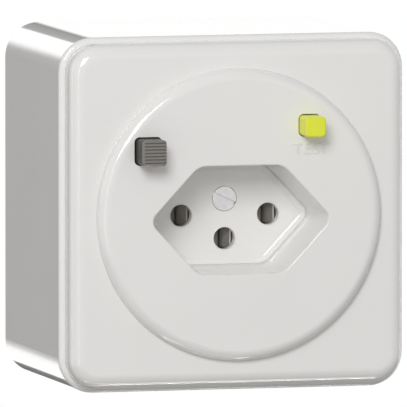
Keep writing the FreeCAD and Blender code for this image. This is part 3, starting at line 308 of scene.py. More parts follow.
def tinned_leaf():
    """Phosphor bronze leaf, tin plated: a soft neutral grey metal with rolling lines 0.3 mm apart."""
    material, tree, point = new_material("tinned_phosphor_bronze")
    along = add(tree, "ShaderNodeMapping", {"Vector": point, "Scale": (8, 8, 1)})
    lines = add(tree, "ShaderNodeTexNoise", {"Vector": along, "Scale": 1 / (2.4 * MM), "Detail": 3.0})
    surface = add(tree, "ShaderNodeBsdfPrincipled", {
        "Base Color": add(tree, "ShaderNodeMix", {0: lines, 6: linear("A8A5A1"), 7: linear("BBB8B4")},
                          data_type="RGBA"),
        "Metallic": 1.0,
        "Roughness": add(tree, "ShaderNodeMapRange", {"Value": lines, "To Min": 0.5, "To Max": 0.7}),
    })
    add(tree, "ShaderNodeOutputMaterial", {"Surface": surface})
    return material


def silver_alloy():
    """Silver contact rivets: a soft white metal with a faint grey bloom in patches 0.5 mm wide."""
    material, tree, point = new_material("silver_contact_alloy")
    bloom = add(tree, "ShaderNodeTexNoise", {"Vector": point, "Scale": 1 / (0.5 * MM), "Detail": 3.0})
    surface = add(tree, "ShaderNodeBsdfPrincipled", {
        "Base Color": add(tree, "ShaderNodeMix", {0: bloom, 6: linear("D9D8D4"), 7: linear("EDECE8")},
                          data_type="RGBA"),
        "Metallic": 1.0,
        "Roughness": add(tree, "ShaderNodeMapRange", {"Value": bloom, "To Min": 0.22, "To Max": 0.4}),
    })
    add(tree, "ShaderNodeOutputMaterial", {"Surface": surface})
    return material


def enamelled_copper():
    """Copper wire in clear enamel, wound in turns: ridges 0.5 mm apart, coarser than real to show."""
    material, tree, point = new_material("enamelled_copper_winding")
    turns = add(tree, "ShaderNodeTexWave", {
        "Vector": point, "Scale": 2 * math.pi / (10 * 0.5 * MM), "Distortion": 0.2},
        wave_profile="SIN", bands_direction="X")
    dull = add(tree, "ShaderNodeTexNoise", {"Vector": point, "Scale": 1 / (0.8 * MM)})
    surface = add(tree, "ShaderNodeBsdfPrincipled", {
        "Base Color": add(tree, "ShaderNodeMix", {
            0: turns.outputs["Fac"], 6: linear("7A3A1C"), 7: linear("C4703C")}, data_type="RGBA"),
        "Metallic": 0.85,
        "Roughness": add(tree, "ShaderNodeMapRange", {"Value": dull, "To Min": 0.25, "To Max": 0.4}),
        "Coat Weight": 0.4,
        "Normal": add(tree, "ShaderNodeBump", {"Height": turns.outputs["Fac"], "Distance": 0.12 * MM}),
    })
    add(tree, "ShaderNodeOutputMaterial", {"Surface": surface})
    return material


def bare_copper():
    """Solid copper bar: salmon metal with brown tarnish in patches 1.6 mm wide."""
    material, tree, point = new_material("tarnished_bare_copper")
    tarnish = add(tree, "ShaderNodeTexNoise", {"Vector": point, "Scale": 1 / (1.6 * MM), "Detail": 4.0})
    surface = add(tree, "ShaderNodeBsdfPrincipled", {
        "Base Color": add(tree, "ShaderNodeMix", {0: tarnish, 6: linear("A4623E"), 7: linear("CF8A62")},
                          data_type="RGBA"),
        "Metallic": 1.0,
        "Roughness": add(tree, "ShaderNodeMapRange", {"Value": tarnish, "To Min": 0.28, "To Max": 0.5}),
    })
    add(tree, "ShaderNodeOutputMaterial", {"Surface": surface})
    return material


def wound_core():
    """Nanocrystalline ribbon, wound as a tape: dark grey with thin bright edges of its layers."""
    material, tree, point = new_material("tape_wound_core")
    along = add(tree, "ShaderNodeMapping", {"Vector": point, "Scale": (1, 1, 14)})
    layers = add(tree, "ShaderNodeTexNoise", {"Vector": along, "Scale": 1 / (2.1 * MM), "Detail": 2.0})
    surface = add(tree, "ShaderNodeBsdfPrincipled", {
        "Base Color": add(tree, "ShaderNodeMix", {0: layers, 6: linear("4A4B4E"), 7: linear("77787B")},
                          data_type="RGBA"),
        "Metallic": 0.9,
        "Roughness": add(tree, "ShaderNodeMapRange", {"Value": layers, "To Min": 0.35, "To Max": 0.55}),
        "Normal": add(tree, "ShaderNodeBump", {"Height": layers, "Distance": 0.02 * MM}),
    })
    add(tree, "ShaderNodeOutputMaterial", {"Surface": surface})
    return material


def board_laminate():
    """Glass-fibre laminate under green lacquer: the cloth's weave, 0.5 mm a thread, just shows."""
    material, tree, point = new_material("glass_fibre_laminate")
    weave = add(tree, "ShaderNodeTexBrick", {"Vector": point, "Scale": 1 / (1.0 * MM), "Mortar Size": 0.06})
    dull = add(tree, "ShaderNodeTexNoise", {"Vector": point, "Scale": 1 / (1.5 * MM)})
    surface = add(tree, "ShaderNodeBsdfPrincipled", {
        "Base Color": add(tree, "ShaderNodeMix", {
            0: weave.outputs["Fac"], 6: linear("2C6B3C"), 7: linear("24592F")}, data_type="RGBA"),
        "Roughness": add(tree, "ShaderNodeMapRange", {"Value": dull, "To Min": 0.3, "To Max": 0.42}),
        "IOR": 1.5,
        "Coat Weight": 0.3,
    })
    add(tree, "ShaderNodeOutputMaterial", {"Surface": surface})
    return material


def black_epoxy():
    """Transfer-moulded epoxy: near black and matt, with a sandy grain 0.15 mm wide."""
    material, tree, point = new_material("moulded_black_epoxy")
    grain = add(tree, "ShaderNodeTexNoise", {"Vector": point, "Scale": 1 / (0.15 * MM), "Detail": 2.0})
    surface = add(tree, "ShaderNodeBsdfPrincipled", {
        "Base Color": add(tree, "ShaderNodeMix", {0: grain, 6: linear("1E1E1F"), 7: linear("2A2A2B")},
                          data_type="RGBA"),
        "Roughness": add(tree, "ShaderNodeMapRange", {"Value": grain, "To Min": 0.55, "To Max": 0.7}),
        "Normal": add(tree, "ShaderNodeBump", {"Height": grain, "Distance": 0.01 * MM}),
    })
    add(tree, "ShaderNodeOutputMaterial", {"Surface": surface})
    return material


def drawn_can():
    """Deep-drawn aluminium can: bright grey with rings 0.3 mm apart left by the drawing."""
    material, tree, point = new_material("drawn_aluminium_can")
    along = add(tree, "ShaderNodeMapping", {"Vector": point, "Scale": (1, 12, 1)})
    rings = add(tree, "ShaderNodeTexNoise", {"Vector": along, "Scale": 1 / (3.6 * MM), "Detail": 2.0})
    surface = add(tree, "ShaderNodeBsdfPrincipled", {
        "Base Color": add(tree, "ShaderNodeMix", {0: rings, 6: linear("B9BBBD"), 7: linear("D2D3D5")},
                          data_type="RGBA"),
        "Metallic": 1.0,
        "Roughness": add(tree, "ShaderNodeMapRange", {"Value": rings, "To Min": 0.22, "To Max": 0.36}),
    })
    add(tree, "ShaderNodeOutputMaterial", {"Surface": surface})
    return material


def dipped_blue():
    """Epoxy dip on a disc varistor: thick glossy blue that pools in dimples 1.2 mm wide."""
    material, tree, point = new_material("dipped_blue_epoxy")
    dimples = add(tree, "ShaderNodeTexNoise", {"Vector": point, "Scale": 1 / (1.2 * MM), "Detail": 1.0})
    surface = add(tree, "ShaderNodeBsdfPrincipled", {
        "Base Color": add(tree, "ShaderNodeMix", {0: dimples, 6: linear("22459C"), 7: linear("2B55B5")},
                          data_type="RGBA"),
        "Roughness": add(tree, "ShaderNodeMapRange", {"Value": dimples, "To Min": 0.18, "To Max": 0.3}),
        "Normal": add(tree, "ShaderNodeBump", {"Height": dimples, "Distance": 0.08 * MM}),
    })
    add(tree, "ShaderNodeOutputMaterial", {"Surface": surface})
    return material


def lacquered_resistor():
    """Lacquered film resistor: a beige body with plain brown bands 1.5 mm apart."""
    material, tree, point = new_material("lacquered_resistor")
    bands = add(tree, "ShaderNodeTexWave", {"Vector": point, "Scale": 2 * math.pi / (20 * 1.5 * MM)},
                bands_direction="Z")
    mask = add(tree, "ShaderNodeMapRange", {
        "Value": bands.outputs["Fac"], "From Min": 0.75, "From Max": 0.8})
    dull = add(tree, "ShaderNodeTexNoise", {"Vector": point, "Scale": 1 / (1.0 * MM)})
    surface = add(tree, "ShaderNodeBsdfPrincipled", {
        "Base Color": add(tree, "ShaderNodeMix", {0: mask, 6: linear("C9B08A"), 7: linear("6B4226")},
                          data_type="RGBA"),
        "Roughness": add(tree, "ShaderNodeMapRange", {"Value": dull, "To Min": 0.25, "To Max": 0.4}),
    })
    add(tree, "ShaderNodeOutputMaterial", {"Surface": surface})
    return material


# Settings


class MouldingSettings(bpy.types.PropertyGroup):
    """Colours of the mouldings, and the small raised features on them."""

    white: FloatVectorProperty(
        name="White", description="Colour of the box, the frame and the plate", size=3,
        default=linear("F0EFED")[:3], min=0, max=1, subtype="COLOR")
    grey: FloatVectorProperty(
        name="Grey", description="Colour of the reset button", size=3,
        default=linear("84807C")[:3], min=0, max=1, subtype="COLOR")
    lime: FloatVectorProperty(
        name="Yellow-green", description="Colour of the test button", size=3,
        default=linear("ECF23A")[:3], min=0, max=1, subtype="COLOR")
    word: StringProperty(
        name="Word", description="Word raised on the plate under the test button", default="TEST")
    word_height: FloatProperty(
        name="Word height", description="Height of the raised letters", default=2.35 * MM, unit="LENGTH")
    word_relief: FloatProperty(
        name="Word relief", description="How far the letters stand proud", default=0.24 * MM, unit="LENGTH")
    lip_width: FloatProperty(
        name="Lip width", description="Width of the rounded lip about each pin hole", default=0.3 * MM,
        unit="LENGTH")
    lip_height: FloatProperty(
        name="Lip height", description="How far that lip stands proud", default=0.12 * MM, unit="LENGTH")


class RecessSettings(bpy.types.PropertyGroup):
    """Outline of the six-sided recess at its mouth, and the fine rounds along its edges."""

    half_width: FloatProperty(
        name="Half width", description="From the middle to a side point", default=19.9 * MM, unit="LENGTH")
    half_flat: FloatProperty(
        name="Half flat", description="Half the length of the flat top side", default=9.2 * MM, unit="LENGTH")
    half_height: FloatProperty(
        name="Half height", description="From the middle to the flat top side",
        default=11.5 * MM, unit="LENGTH")
    rise: FloatProperty(
        name="Rise", description="Height of the recess's middle", default=-1.0 * MM, unit="LENGTH")
    side_round: FloatProperty(
        name="Side round", description="Radius of the side points", default=2.2 * MM, unit="LENGTH")
    top_round: FloatProperty(
        name="Top round", description="Radius of the other corners", default=4.0 * MM, unit="LENGTH")
    depth: FloatProperty(name="Depth", description="Depth of the recess", default=13.8 * MM, unit="LENGTH")
    draft: FloatProperty(
        name="Draft", description="Lean of its walls", default=math.radians(3.6), unit="ROTATION")
    mouth_round: FloatProperty(
        name="Mouth round", description="Radius of the rounded mouth", default=0.35 * MM, unit="LENGTH")
    floor_lip: FloatProperty(
        name="Floor lip", description="How far the floor's edge stands proud",
        default=0.2 * MM, unit="LENGTH")


class LeafSettings(bpy.types.PropertyGroup):
    """Sizes of the sprung leaves behind each pin hole."""

    metal: FloatProperty(name="Metal", description="Thickness of the leaf", default=0.25 * MM, unit="LENGTH")
    mouth: FloatProperty(
        name="Mouth", description="Half the width between the flared ends of a pair", default=1.8 * MM,
        unit="LENGTH")
    pinch: FloatProperty(
        name="Pinch", description="Half the gap where a pair comes closest", default=0.14 * MM, unit="LENGTH")
    reach: FloatProperty(
        name="Reach", description="From the back of the plate's floor to the flared ends",
        default=0.25 * MM, unit="LENGTH")


class SpringSettings(bpy.types.PropertyGroup):
    """Wire of the compression springs."""

    wire: FloatProperty(
        name="Wire", description="Diameter of the springs' wire", default=0.5 * MM, unit="LENGTH")
    end_pitch: FloatProperty(
        name="End pitch", description="Rise of the flat end turns in one turn",
        default=0.52 * MM, unit="LENGTH")


class StudioSettings(bpy.types.PropertyGroup):
    """Where the camera stands and how the studio is lit."""

    azimuth: FloatProperty(
        name="Azimuth", description="Turn of the camera about the outlet, from the front to its right",
        default=math.radians(-15.0), subtype="ANGLE", unit="ROTATION")
    elevation: FloatProperty(
        name="Elevation", description="Height angle of the camera", default=math.radians(5.0),
        subtype="ANGLE", unit="ROTATION")
    distance: FloatProperty(
        name="Distance", description="From the camera to the front of the outlet", default=3.6, unit="LENGTH")
    target: FloatVectorProperty(
        name="Aim", description="Point that the camera looks at", default=(-8.27 * MM, -55.0 * MM, 2.72 * MM),
        subtype="TRANSLATION", unit="LENGTH")
    view_width: FloatProperty(
        name="View width", description="Width of the view at the front of the outlet",
        default=85.74 * MM, unit="LENGTH")
    key_toward: FloatVectorProperty(
        name="Key lamp", description="Direction from the outlet to the key lamp",
        default=(-0.37, -0.82, 0.45), subtype="DIRECTION")
    key_level: FloatProperty(
        name="Key level", description="Light that a plate facing the lamp gets; 1 shows a colour as written",
        default=0.5)
    ambient_level: FloatProperty(
        name="Ambient level", description="Light from all round; 1 shows a colour as written", default=0.42)
    flag_level: FloatProperty(
        name="Flag level", description="Brightness of the dark flags in the reflections", default=0.115)
    card_level: FloatProperty(
        name="Card level", description="Brightness of the white card in the reflections", default=2.2)
    strip_level: FloatProperty(
        name="Strip level", description="Brightness of the narrow strip lights in the reflections",
        default=6.0)
    roof_level: FloatProperty(
        name="Roof level", description="Brightness of the dim roof in the reflections", default=0.3)
    floor_drop: FloatProperty(
        name="Floor drop", description="How far the floor lies below the outlet", default=0.12, unit="LENGTH")


# New pieces


def add_piece(name, points, faces, material, body="housing", crease=35.0):
    """Put points (n, 3) and quads (m, 4) into a mesh of its own that rides on a body."""
    mesh = bpy.data.meshes.new(name)
    mesh.from_pydata(points.reshape(-1, 3).tolist(), [], faces.reshape(-1, 4).tolist())
    shell = bmesh.new()
    shell.from_mesh(mesh)
    bmesh.ops.recalc_face_normals(shell, faces=shell.faces)
    shell.to_mesh(mesh)
    shell.free()
    mesh.shade_smooth()
    mesh.set_sharp_from_angle(angle=math.radians(crease))
    mesh.materials.append(material)
    piece = bpy.data.objects.new(name, mesh)
    bpy.context.scene.collection.objects.link(piece)
    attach(piece, body)
    return piece


def grid_faces(rows, columns, wrap_rows=False, wrap_columns=False):
    """Quads of a grid of points: point (i, j) is joined to (i + 1, j), (i + 1, j + 1) and (i, j + 1)."""
    down, across = np.arange(rows - (not wrap_rows)), np.arange(columns - (not wrap_columns))
    i, j = np.meshgrid(down, across, indexing="ij")
    k, m = (i + 1) % rows, (j + 1) % columns
    corners = [i * columns + j, k * columns + j, k * columns + m, i * columns + m]
    return np.stack(corners, axis=-1).reshape(-1, 4)


def smooth_line(points, steps):
    """Round a line of points (n, 2) off with a quadratic B-spline.

    Between two middles of the line's runs the curve is (1 - t)^2 / 2 times the point before, plus
    1/2 + t - t^2 times the point itself, plus t^2 / 2 times the point after, for t from 0 to 1.
    """
    points = np.concatenate([2 * points[:1] - points[1:2], points, 2 * points[-1:] - points[-2:-1]])
    t = np.linspace(0, 1, steps, endpoint=False)[None, :, None]
    before, here, after = points[:-2, None], points[1:-1, None], points[2:, None]
    curve = (1 - t) ** 2 / 2 * before + (0.5 + t - t * t) * here + t * t / 2 * after
    return curve.reshape(-1, 2)


def leaf_pair(line, half_height, thickness, centre):
    """Fold two mirrored sprung leaves from a line of (half gap, depth) points.

    The line is moved by half the thickness along its normal to either side. At each of its points the
    leaf's section is a rectangle between those two, from -h to h, where h is half_height or, if less,
    the height at that half gap of a circle of radius LEAF_ROOM. The second leaf is the first with its
    x reversed.
    """
    along = np.gradient(line, axis=0)
    along /= np.linalg.norm(along, axis=1, keepdims=True)
    normal = np.stack([-along[:, 1], along[:, 0]], axis=1) * thickness / 2
    h = np.minimum(half_height, np.sqrt(np.maximum(LEAF_ROOM ** 2 - line[:, 0] ** 2, MM ** 2)))
    corners = [(-1, -1), (1, -1), (1, 1), (-1, 1)]
    section = [np.stack([line[:, 0] + s * normal[:, 0], -(line[:, 1] + s * normal[:, 1]), v * h], axis=1)
               for s, v in corners]
    leaf = np.stack(section, axis=1)
    n = len(line)
    faces = np.concatenate([grid_faces(n, 4, wrap_columns=True), [[0, 1, 2, 3]],
                            [[4 * n - 1, 4 * n - 2, 4 * n - 3, 4 * n - 4]]])
    other = leaf * (-1, 1, 1)
    points = np.concatenate([leaf.reshape(-1, 3), other.reshape(-1, 3)]) + centre
    return points, np.concatenate([faces, faces[:, ::-1] + 4 * n])


def hole_lip(radius, width, height, centre, around=14, turns=64):
    """Turn a rounded lip about a pin hole: a closed section swept round the hole's axis.

    Its section is a circle squashed to the lip's width and height, whose inner half dips into the
    hole: at angle a the point lies width (1 + cos a) / 2, less 0.03 mm, outside the hole's edge and
    height sin a proud of the floor, less half the width times cos a squared on the inner half.
    """
    a = np.linspace(0, 2 * math.pi, around, endpoint=False)[:, None]
    b = np.linspace(0, 2 * math.pi, turns, endpoint=False)[None, :]
    out = radius - 0.03 * MM + width * (1 + np.cos(a)) / 2
    proud = height * np.sin(a) - 0.5 * width * np.maximum(-np.cos(a), 0) ** 2
    points = np.stack([out * np.cos(b), -proud + 0 * b, out * np.sin(b)], axis=-1)
    return points.reshape(-1, 3) + centre, grid_faces(around, turns, True, True)


def recess_ring(sizes, inset, profile, turns=10):
    """Carry a closed profile of (distance in from the wall, depth) points round the recess's outline.

    The outline at that depth is the mouth's hexagon moved inward by inset. With n and m the outward
    normals of a corner's two sides and r its radius, the arc's middle is the corner less
    r (n + m) / (1 + n . m), and a profile point lies r less its distance from there, along a
    direction that turns from n to m.
    """
    slant = math.atan2(sizes.half_height, sizes.half_width - sizes.half_flat)
    wide = sizes.half_width - inset / math.sin(slant)
    flat = sizes.half_flat - inset * math.tan(slant / 2)
    high = sizes.half_height - inset
    corners = np.array([
        (wide, 0), (flat, high), (-flat, high), (-wide, 0), (-flat, -high), (flat, -high)])
    sides = np.roll(corners, -1, axis=0) - corners
    after = np.stack([sides[:, 1], -sides[:, 0]], axis=1) / np.linalg.norm(sides, axis=1, keepdims=True)
    before = np.roll(after, 1, axis=0)
    r = np.array([sizes.side_round, sizes.top_round, sizes.top_round] * 2)[:, None]
    middle = corners - r * (before + after) / (1 + np.sum(before * after, axis=1, keepdims=True))
    start = np.arctan2(before[:, 1], before[:, 0])[:, None]
    turn = np.arccos(np.sum(before * after, axis=1))[:, None] * np.linspace(0, 1, turns)[None, :]
    toward = np.stack([np.cos(start + turn), np.sin(start + turn)], axis=-1)
    profile = np.array(profile)
    reach = (r[None, :, :] - profile[:, 0][:, None, None])[..., None]
    flat_points = (middle[None, :, None, :] + reach * toward[None]).reshape(len(profile), -1, 2)
    depth = np.repeat(profile[:, 1][:, None], flat_points.shape[1], axis=1)
    points = np.stack([flat_points[..., 0], -depth, flat_points[..., 1] + sizes.rise], axis=-1)
    return points.reshape(-1, 3), grid_faces(len(profile), flat_points.shape[1], True, True)


def coil(sizes, radius, turns, length, around=12):
    """Wind a round wire about +Y, from height 0 to length, with a flat half turn at either end.

    Its pitch is e for half a turn from either end, grows evenly over the next half turn and is p
    between, so that e + (e + p) / 2 + p (turns - 2) is the length less the wire. The wire's middle goes
    round at the radius and climbs by the pitch, and its section is a circle across that line.
    """
    climb = length - sizes.wire
    pitch = (climb - 1.5 * sizes.end_pitch) / (turns - 1.5)
    t = np.linspace(0, turns, round(36 * turns) + 1)
    rate = sizes.end_pitch + (pitch - sizes.end_pitch) * np.clip(2 * np.minimum(t, turns - t) - 1, 0, 1)
    rise = np.concatenate([[0], np.cumsum((rate[1:] + rate[:-1]) / 2 * np.diff(t))])
    height = sizes.wire / 2 + rise * climb / rise[-1]
    a = 2 * math.pi * t
    out = np.stack([np.cos(a), 0 * a, np.sin(a)], axis=1)
    along = np.stack([-2 * math.pi * radius * np.sin(a), rate, 2 * math.pi * radius * np.cos(a)], axis=1)
    across = np.cross(along / np.linalg.norm(along, axis=1, keepdims=True), out)
    b = np.linspace(0, 2 * math.pi, around, endpoint=False)[None, :, None]
    middle = radius * out + height[:, None] * (0, 1, 0)
    points = middle[:, None] + sizes.wire / 2 * (np.cos(b) * out[:, None] + np.sin(b) * across[:, None])
    i = np.arange(1, around - 1, 2)
    cap = np.stack([0 * i, i, i + 1, i + 2], axis=1)
    last = (len(t) - 1) * around
    faces = np.concatenate([grid_faces(len(t), around, wrap_columns=True), cap, cap[:, ::-1] + last])
    return points.reshape(-1, 3), faces


def finish_nodes(material, names):
    """Give CAD pieces a material, through their object's slots."""
    for name in names:
        slot = NODES[name].material_slots[0]
        slot.link = "OBJECT"
        slot.material = material


class OUTLET_OT_mouldings(bpy.types.Operator):
    """Finish the wall box, the cover frame and the centre plate"""

    bl_idname = "outlet.mouldings"
    bl_label = "White mouldings"

    def execute(self, context):
        white = moulded_white(tuple(context.scene.outlet_mouldings.white))
        finish_nodes(white, ["surface_box", "cover_frame", "centre_plate"])
        return {"FINISHED"}


class OUTLET_OT_lips(bpy.types.Operator):
    """Mould the rounded mouth of the recess, the lip of its floor and the lips about the pin holes"""

    bl_idname = "outlet.lips"
    bl_label = "Mouth and lips"

    def execute(self, context):
        sizes, recess = context.scene.outlet_mouldings, context.scene.outlet_recess
        white = NODES["centre_plate"].material_slots[0].material
        r = recess.mouth_round
        front = FLOOR_DEPTH + recess.depth
        a = np.linspace(0, math.pi / 2, 7)
        arc = [(-r + r * math.sin(t), front - r + r * math.cos(t)) for t in a]
        # Two points under the plate's skin close the mouth's quarter round
        mouth = [*arc, (-0.3 * r, front - 1.2 * r), (-r - 0.2 * MM, front - 0.3 * r)]
        points, faces = recess_ring(recess, 0.0, mouth)
        add_piece("recess_mouth_round", points, faces, white, crease=50.0)
        lip = recess.floor_lip
        edge = [(inward * MM, FLOOR_DEPTH + up) for inward, up in (
            (0.18, -0.1 * MM), (0.18, 0.8 * lip), (0.2, 0.9 * lip), (0.26, lip), (0.45, 0.8 * lip),
            (0.9, 0.3 * lip), (1.4, 0.05 * lip), (1.5, -0.1 * MM))]
        points, faces = recess_ring(recess, recess.depth * math.tan(recess.draft), edge)
        add_piece("recess_floor_lip", points, faces, white, crease=60.0)
        for name, (x, z) in PIN_HOLES.items():
            points, faces = hole_lip(
                PIN_HOLE_RADIUS, sizes.lip_width, sizes.lip_height, (x, -FLOOR_DEPTH, z))
            add_piece(f"{name}_hole_lip", points, faces, white, crease=80.0)
        return {"FINISHED"}


class OUTLET_OT_word(bpy.types.Operator):
    """Raise the button's word on the plate"""

    bl_idname = "outlet.word"
    bl_label = "Raised word"

    def execute(self, context):
        sizes = context.scene.outlet_mouldings
        text = bpy.data.curves.new("test_word", "FONT")
        text.body = sizes.word
        text.size = sizes.word_height / CAPITAL
        text.align_x, text.align_y = "CENTER", "CENTER"
        text.extrude = sizes.word_relief / 2
        text.bevel_depth = WORD_EDGE
        text.bevel_resolution = 2
        text.offset = -WORD_EDGE
        shape = bpy.data.objects.new("test_word_outline", text)
        context.scene.collection.objects.link(shape)
        context.view_layer.update()
        mesh = bpy.data.meshes.new_from_object(shape.evaluated_get(context.evaluated_depsgraph_get()))
        bpy.data.objects.remove(shape)
        points = np.empty(len(mesh.vertices) * 3, np.float32)
        mesh.vertices.foreach_get("co", points)
        x, y, z = points.reshape(-1, 3).T
        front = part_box("centre_plate")[0][1]
        middle = (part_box("test_button")[0][0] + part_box("test_button")[1][0]) / 2
        width = x.max() - x.min()
        x = x * (WORD_LENGTH / width) + middle + WORD_SHIFT
        placed = np.stack([x, front - z, y + WORD_RISE], axis=1)
        mesh.vertices.foreach_set("co", placed.astype(np.float32).ravel())
        mesh.name = "test_word"
        mesh.materials.clear()
        mesh.materials.append(NODES["centre_plate"].material_slots[0].material)
        mesh.update()
        piece = bpy.data.objects.new("test_word", mesh)
        context.scene.collection.objects.link(piece)
        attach(piece, "housing")
        return {"FINISHED"}


class OUTLET_OT_buttons(bpy.types.Operator):
    """Finish the reset and test buttons"""

    bl_idname = "outlet.buttons"
    bl_label = "Buttons"

    def execute(self, context):
        colours = context.scene.outlet_mouldings
        finish_nodes(moulded_grey(tuple(colours.grey)), ["reset_button"])
        finish_nodes(moulded_lime(tuple(colours.lime)), ["test_button"])
        return {"FINISHED"}


class OUTLET_OT_leaves(bpy.types.Operator):
    """Fold the sprung leaves behind the pin holes"""

    bl_idname = "outlet.leaves"
    bl_label = "Contact leaves"

    def execute(self, context):
        sizes = context.scene.outlet_leaves
        end = FLOOR_BACK_DEPTH - sizes.reach
        pinch, mouth = sizes.pinch, sizes.mouth
        line = smooth_line(np.array([(gap, end - back * MM) for gap, back in (
            (1.78 * MM, 10.0), (1.78 * MM, 7.5), (1.7 * MM, 6.0), (pinch + 0.4 * MM, 4.2), (pinch, 3.2),
            (pinch + 0.1 * MM, 2.4), (mouth - 0.2 * MM, 0.45), (mouth, 0.12), (mouth + 0.22 * MM, 0.12),
            (mouth + 0.32 * MM, 0.5), (mouth + 0.34 * MM, 1.1))]), 6)
        tin = tinned_leaf()
        for name, (x, z) in PIN_HOLES.items():
            points, faces = leaf_pair(line, LEAF_HALF_HEIGHT, sizes.metal, (x, 0, z))
            add_piece(f"{name}_leaves", points, faces, tin)
        return {"FINISHED"}


class OUTLET_OT_springs(bpy.types.Operator):
    """Wind the four compression springs in place of the CAD springs, which it hides"""

    bl_idname = "outlet.springs"
    bl_label = "Springs"

    def execute(self, context):
        sizes = context.scene.outlet_springs
        steel = spring_steel()
        for joint in frame["record"]["behaviour"]["joints"]:
            for change in joint.get("deforming_nodes", []):
                name, letter = change["node"], change["mode"][-1]
                axis, fixed = "xyz".index(letter), change[f"fixed_end_{letter}_m"]
                low, high = np.array(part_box(name))
                radius = (high[2] - low[2] - sizes.wire) / 2
                points, faces = coil(sizes, radius, TURNS[name], high[axis] - low[axis])
                start, anchor = (low + high) / 2, (low + high) / 2
                start[axis], anchor[axis] = low[axis], fixed
                if axis == 0:
                    points = points[:, [1, 0, 2]]
                piece = add_piece(f"{name}_wire", points + start, faces, steel)
                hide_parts(name)
                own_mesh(piece)
        return {"FINISHED"}


class OUTLET_OT_works(bpy.types.Operator):
    """Finish the insert, its contacts and the trip"""

    bl_idname = "outlet.works"
    bl_label = "Works inside"

    def execute(self, context):
        groups = [
            (thermoset, ["insert_base", "insert_cover", "contact_carrier", "trip_bobbin"]),
            (zinc_steel, ["support_strap", "strap_screws", "insert_screws", "centre_screw",
                          "terminal_screws", "latch_pin", "trip_yoke", "trip_plunger", "trip_latch"]),
            (contact_brass, ["line_contact", "neutral_contact", "earth_contact", "line_feed",
                             "neutral_feed", "line_terminal", "neutral_terminal", "earth_terminal",
                             "threaded_bush", "contact_bridges", "test_bridge", "test_pads"]),
            (silver_alloy, ["moving_tips"]),
            (enamelled_copper, ["secondary_winding", "trip_winding"]),
            (bare_copper, ["line_conductor", "neutral_conductor"]),
            (wound_core, ["transformer_core"]),
            (board_laminate, ["circuit_board"]),
            (black_epoxy, ["control_chip"]),
            (drawn_can, ["filter_capacitor"]),
            (dipped_blue, ["varistor"]),
            (lacquered_resistor, ["test_resistor"]),
        ]
        for make, names in groups:
            finish_nodes(make(), names)
        return {"FINISHED"}


# Stage


def aim(obj, place, target):
    """Put a lamp or the camera at a place, with its -Z axis toward a target."""
    obj.location = place
    obj.rotation_euler = (Vector(target) - Vector(place)).to_track_quat("-Z", "Y").to_euler()


def soft_lamp(name, toward, level):
    """Hang the square key lamp in the direction `toward` from the outlet.

    A plate that faces it at KEY_DISTANCE shows its colour times level, since a lamp of P watts gives
    P / (pi squared times the distance squared) there.
    """
    data = bpy.data.lights.new(name, "AREA")
    data.shape = "SQUARE"
    data.size = KEY_SIZE
    data.energy = level * (math.pi * KEY_DISTANCE) ** 2
    lamp = bpy.data.objects.new(name, data)
    bpy.context.scene.collection.objects.link(lamp)
    centre = Vector(LAMP_AIM)
    aim(lamp, centre + Vector(toward).normalized() * KEY_DISTANCE, centre)


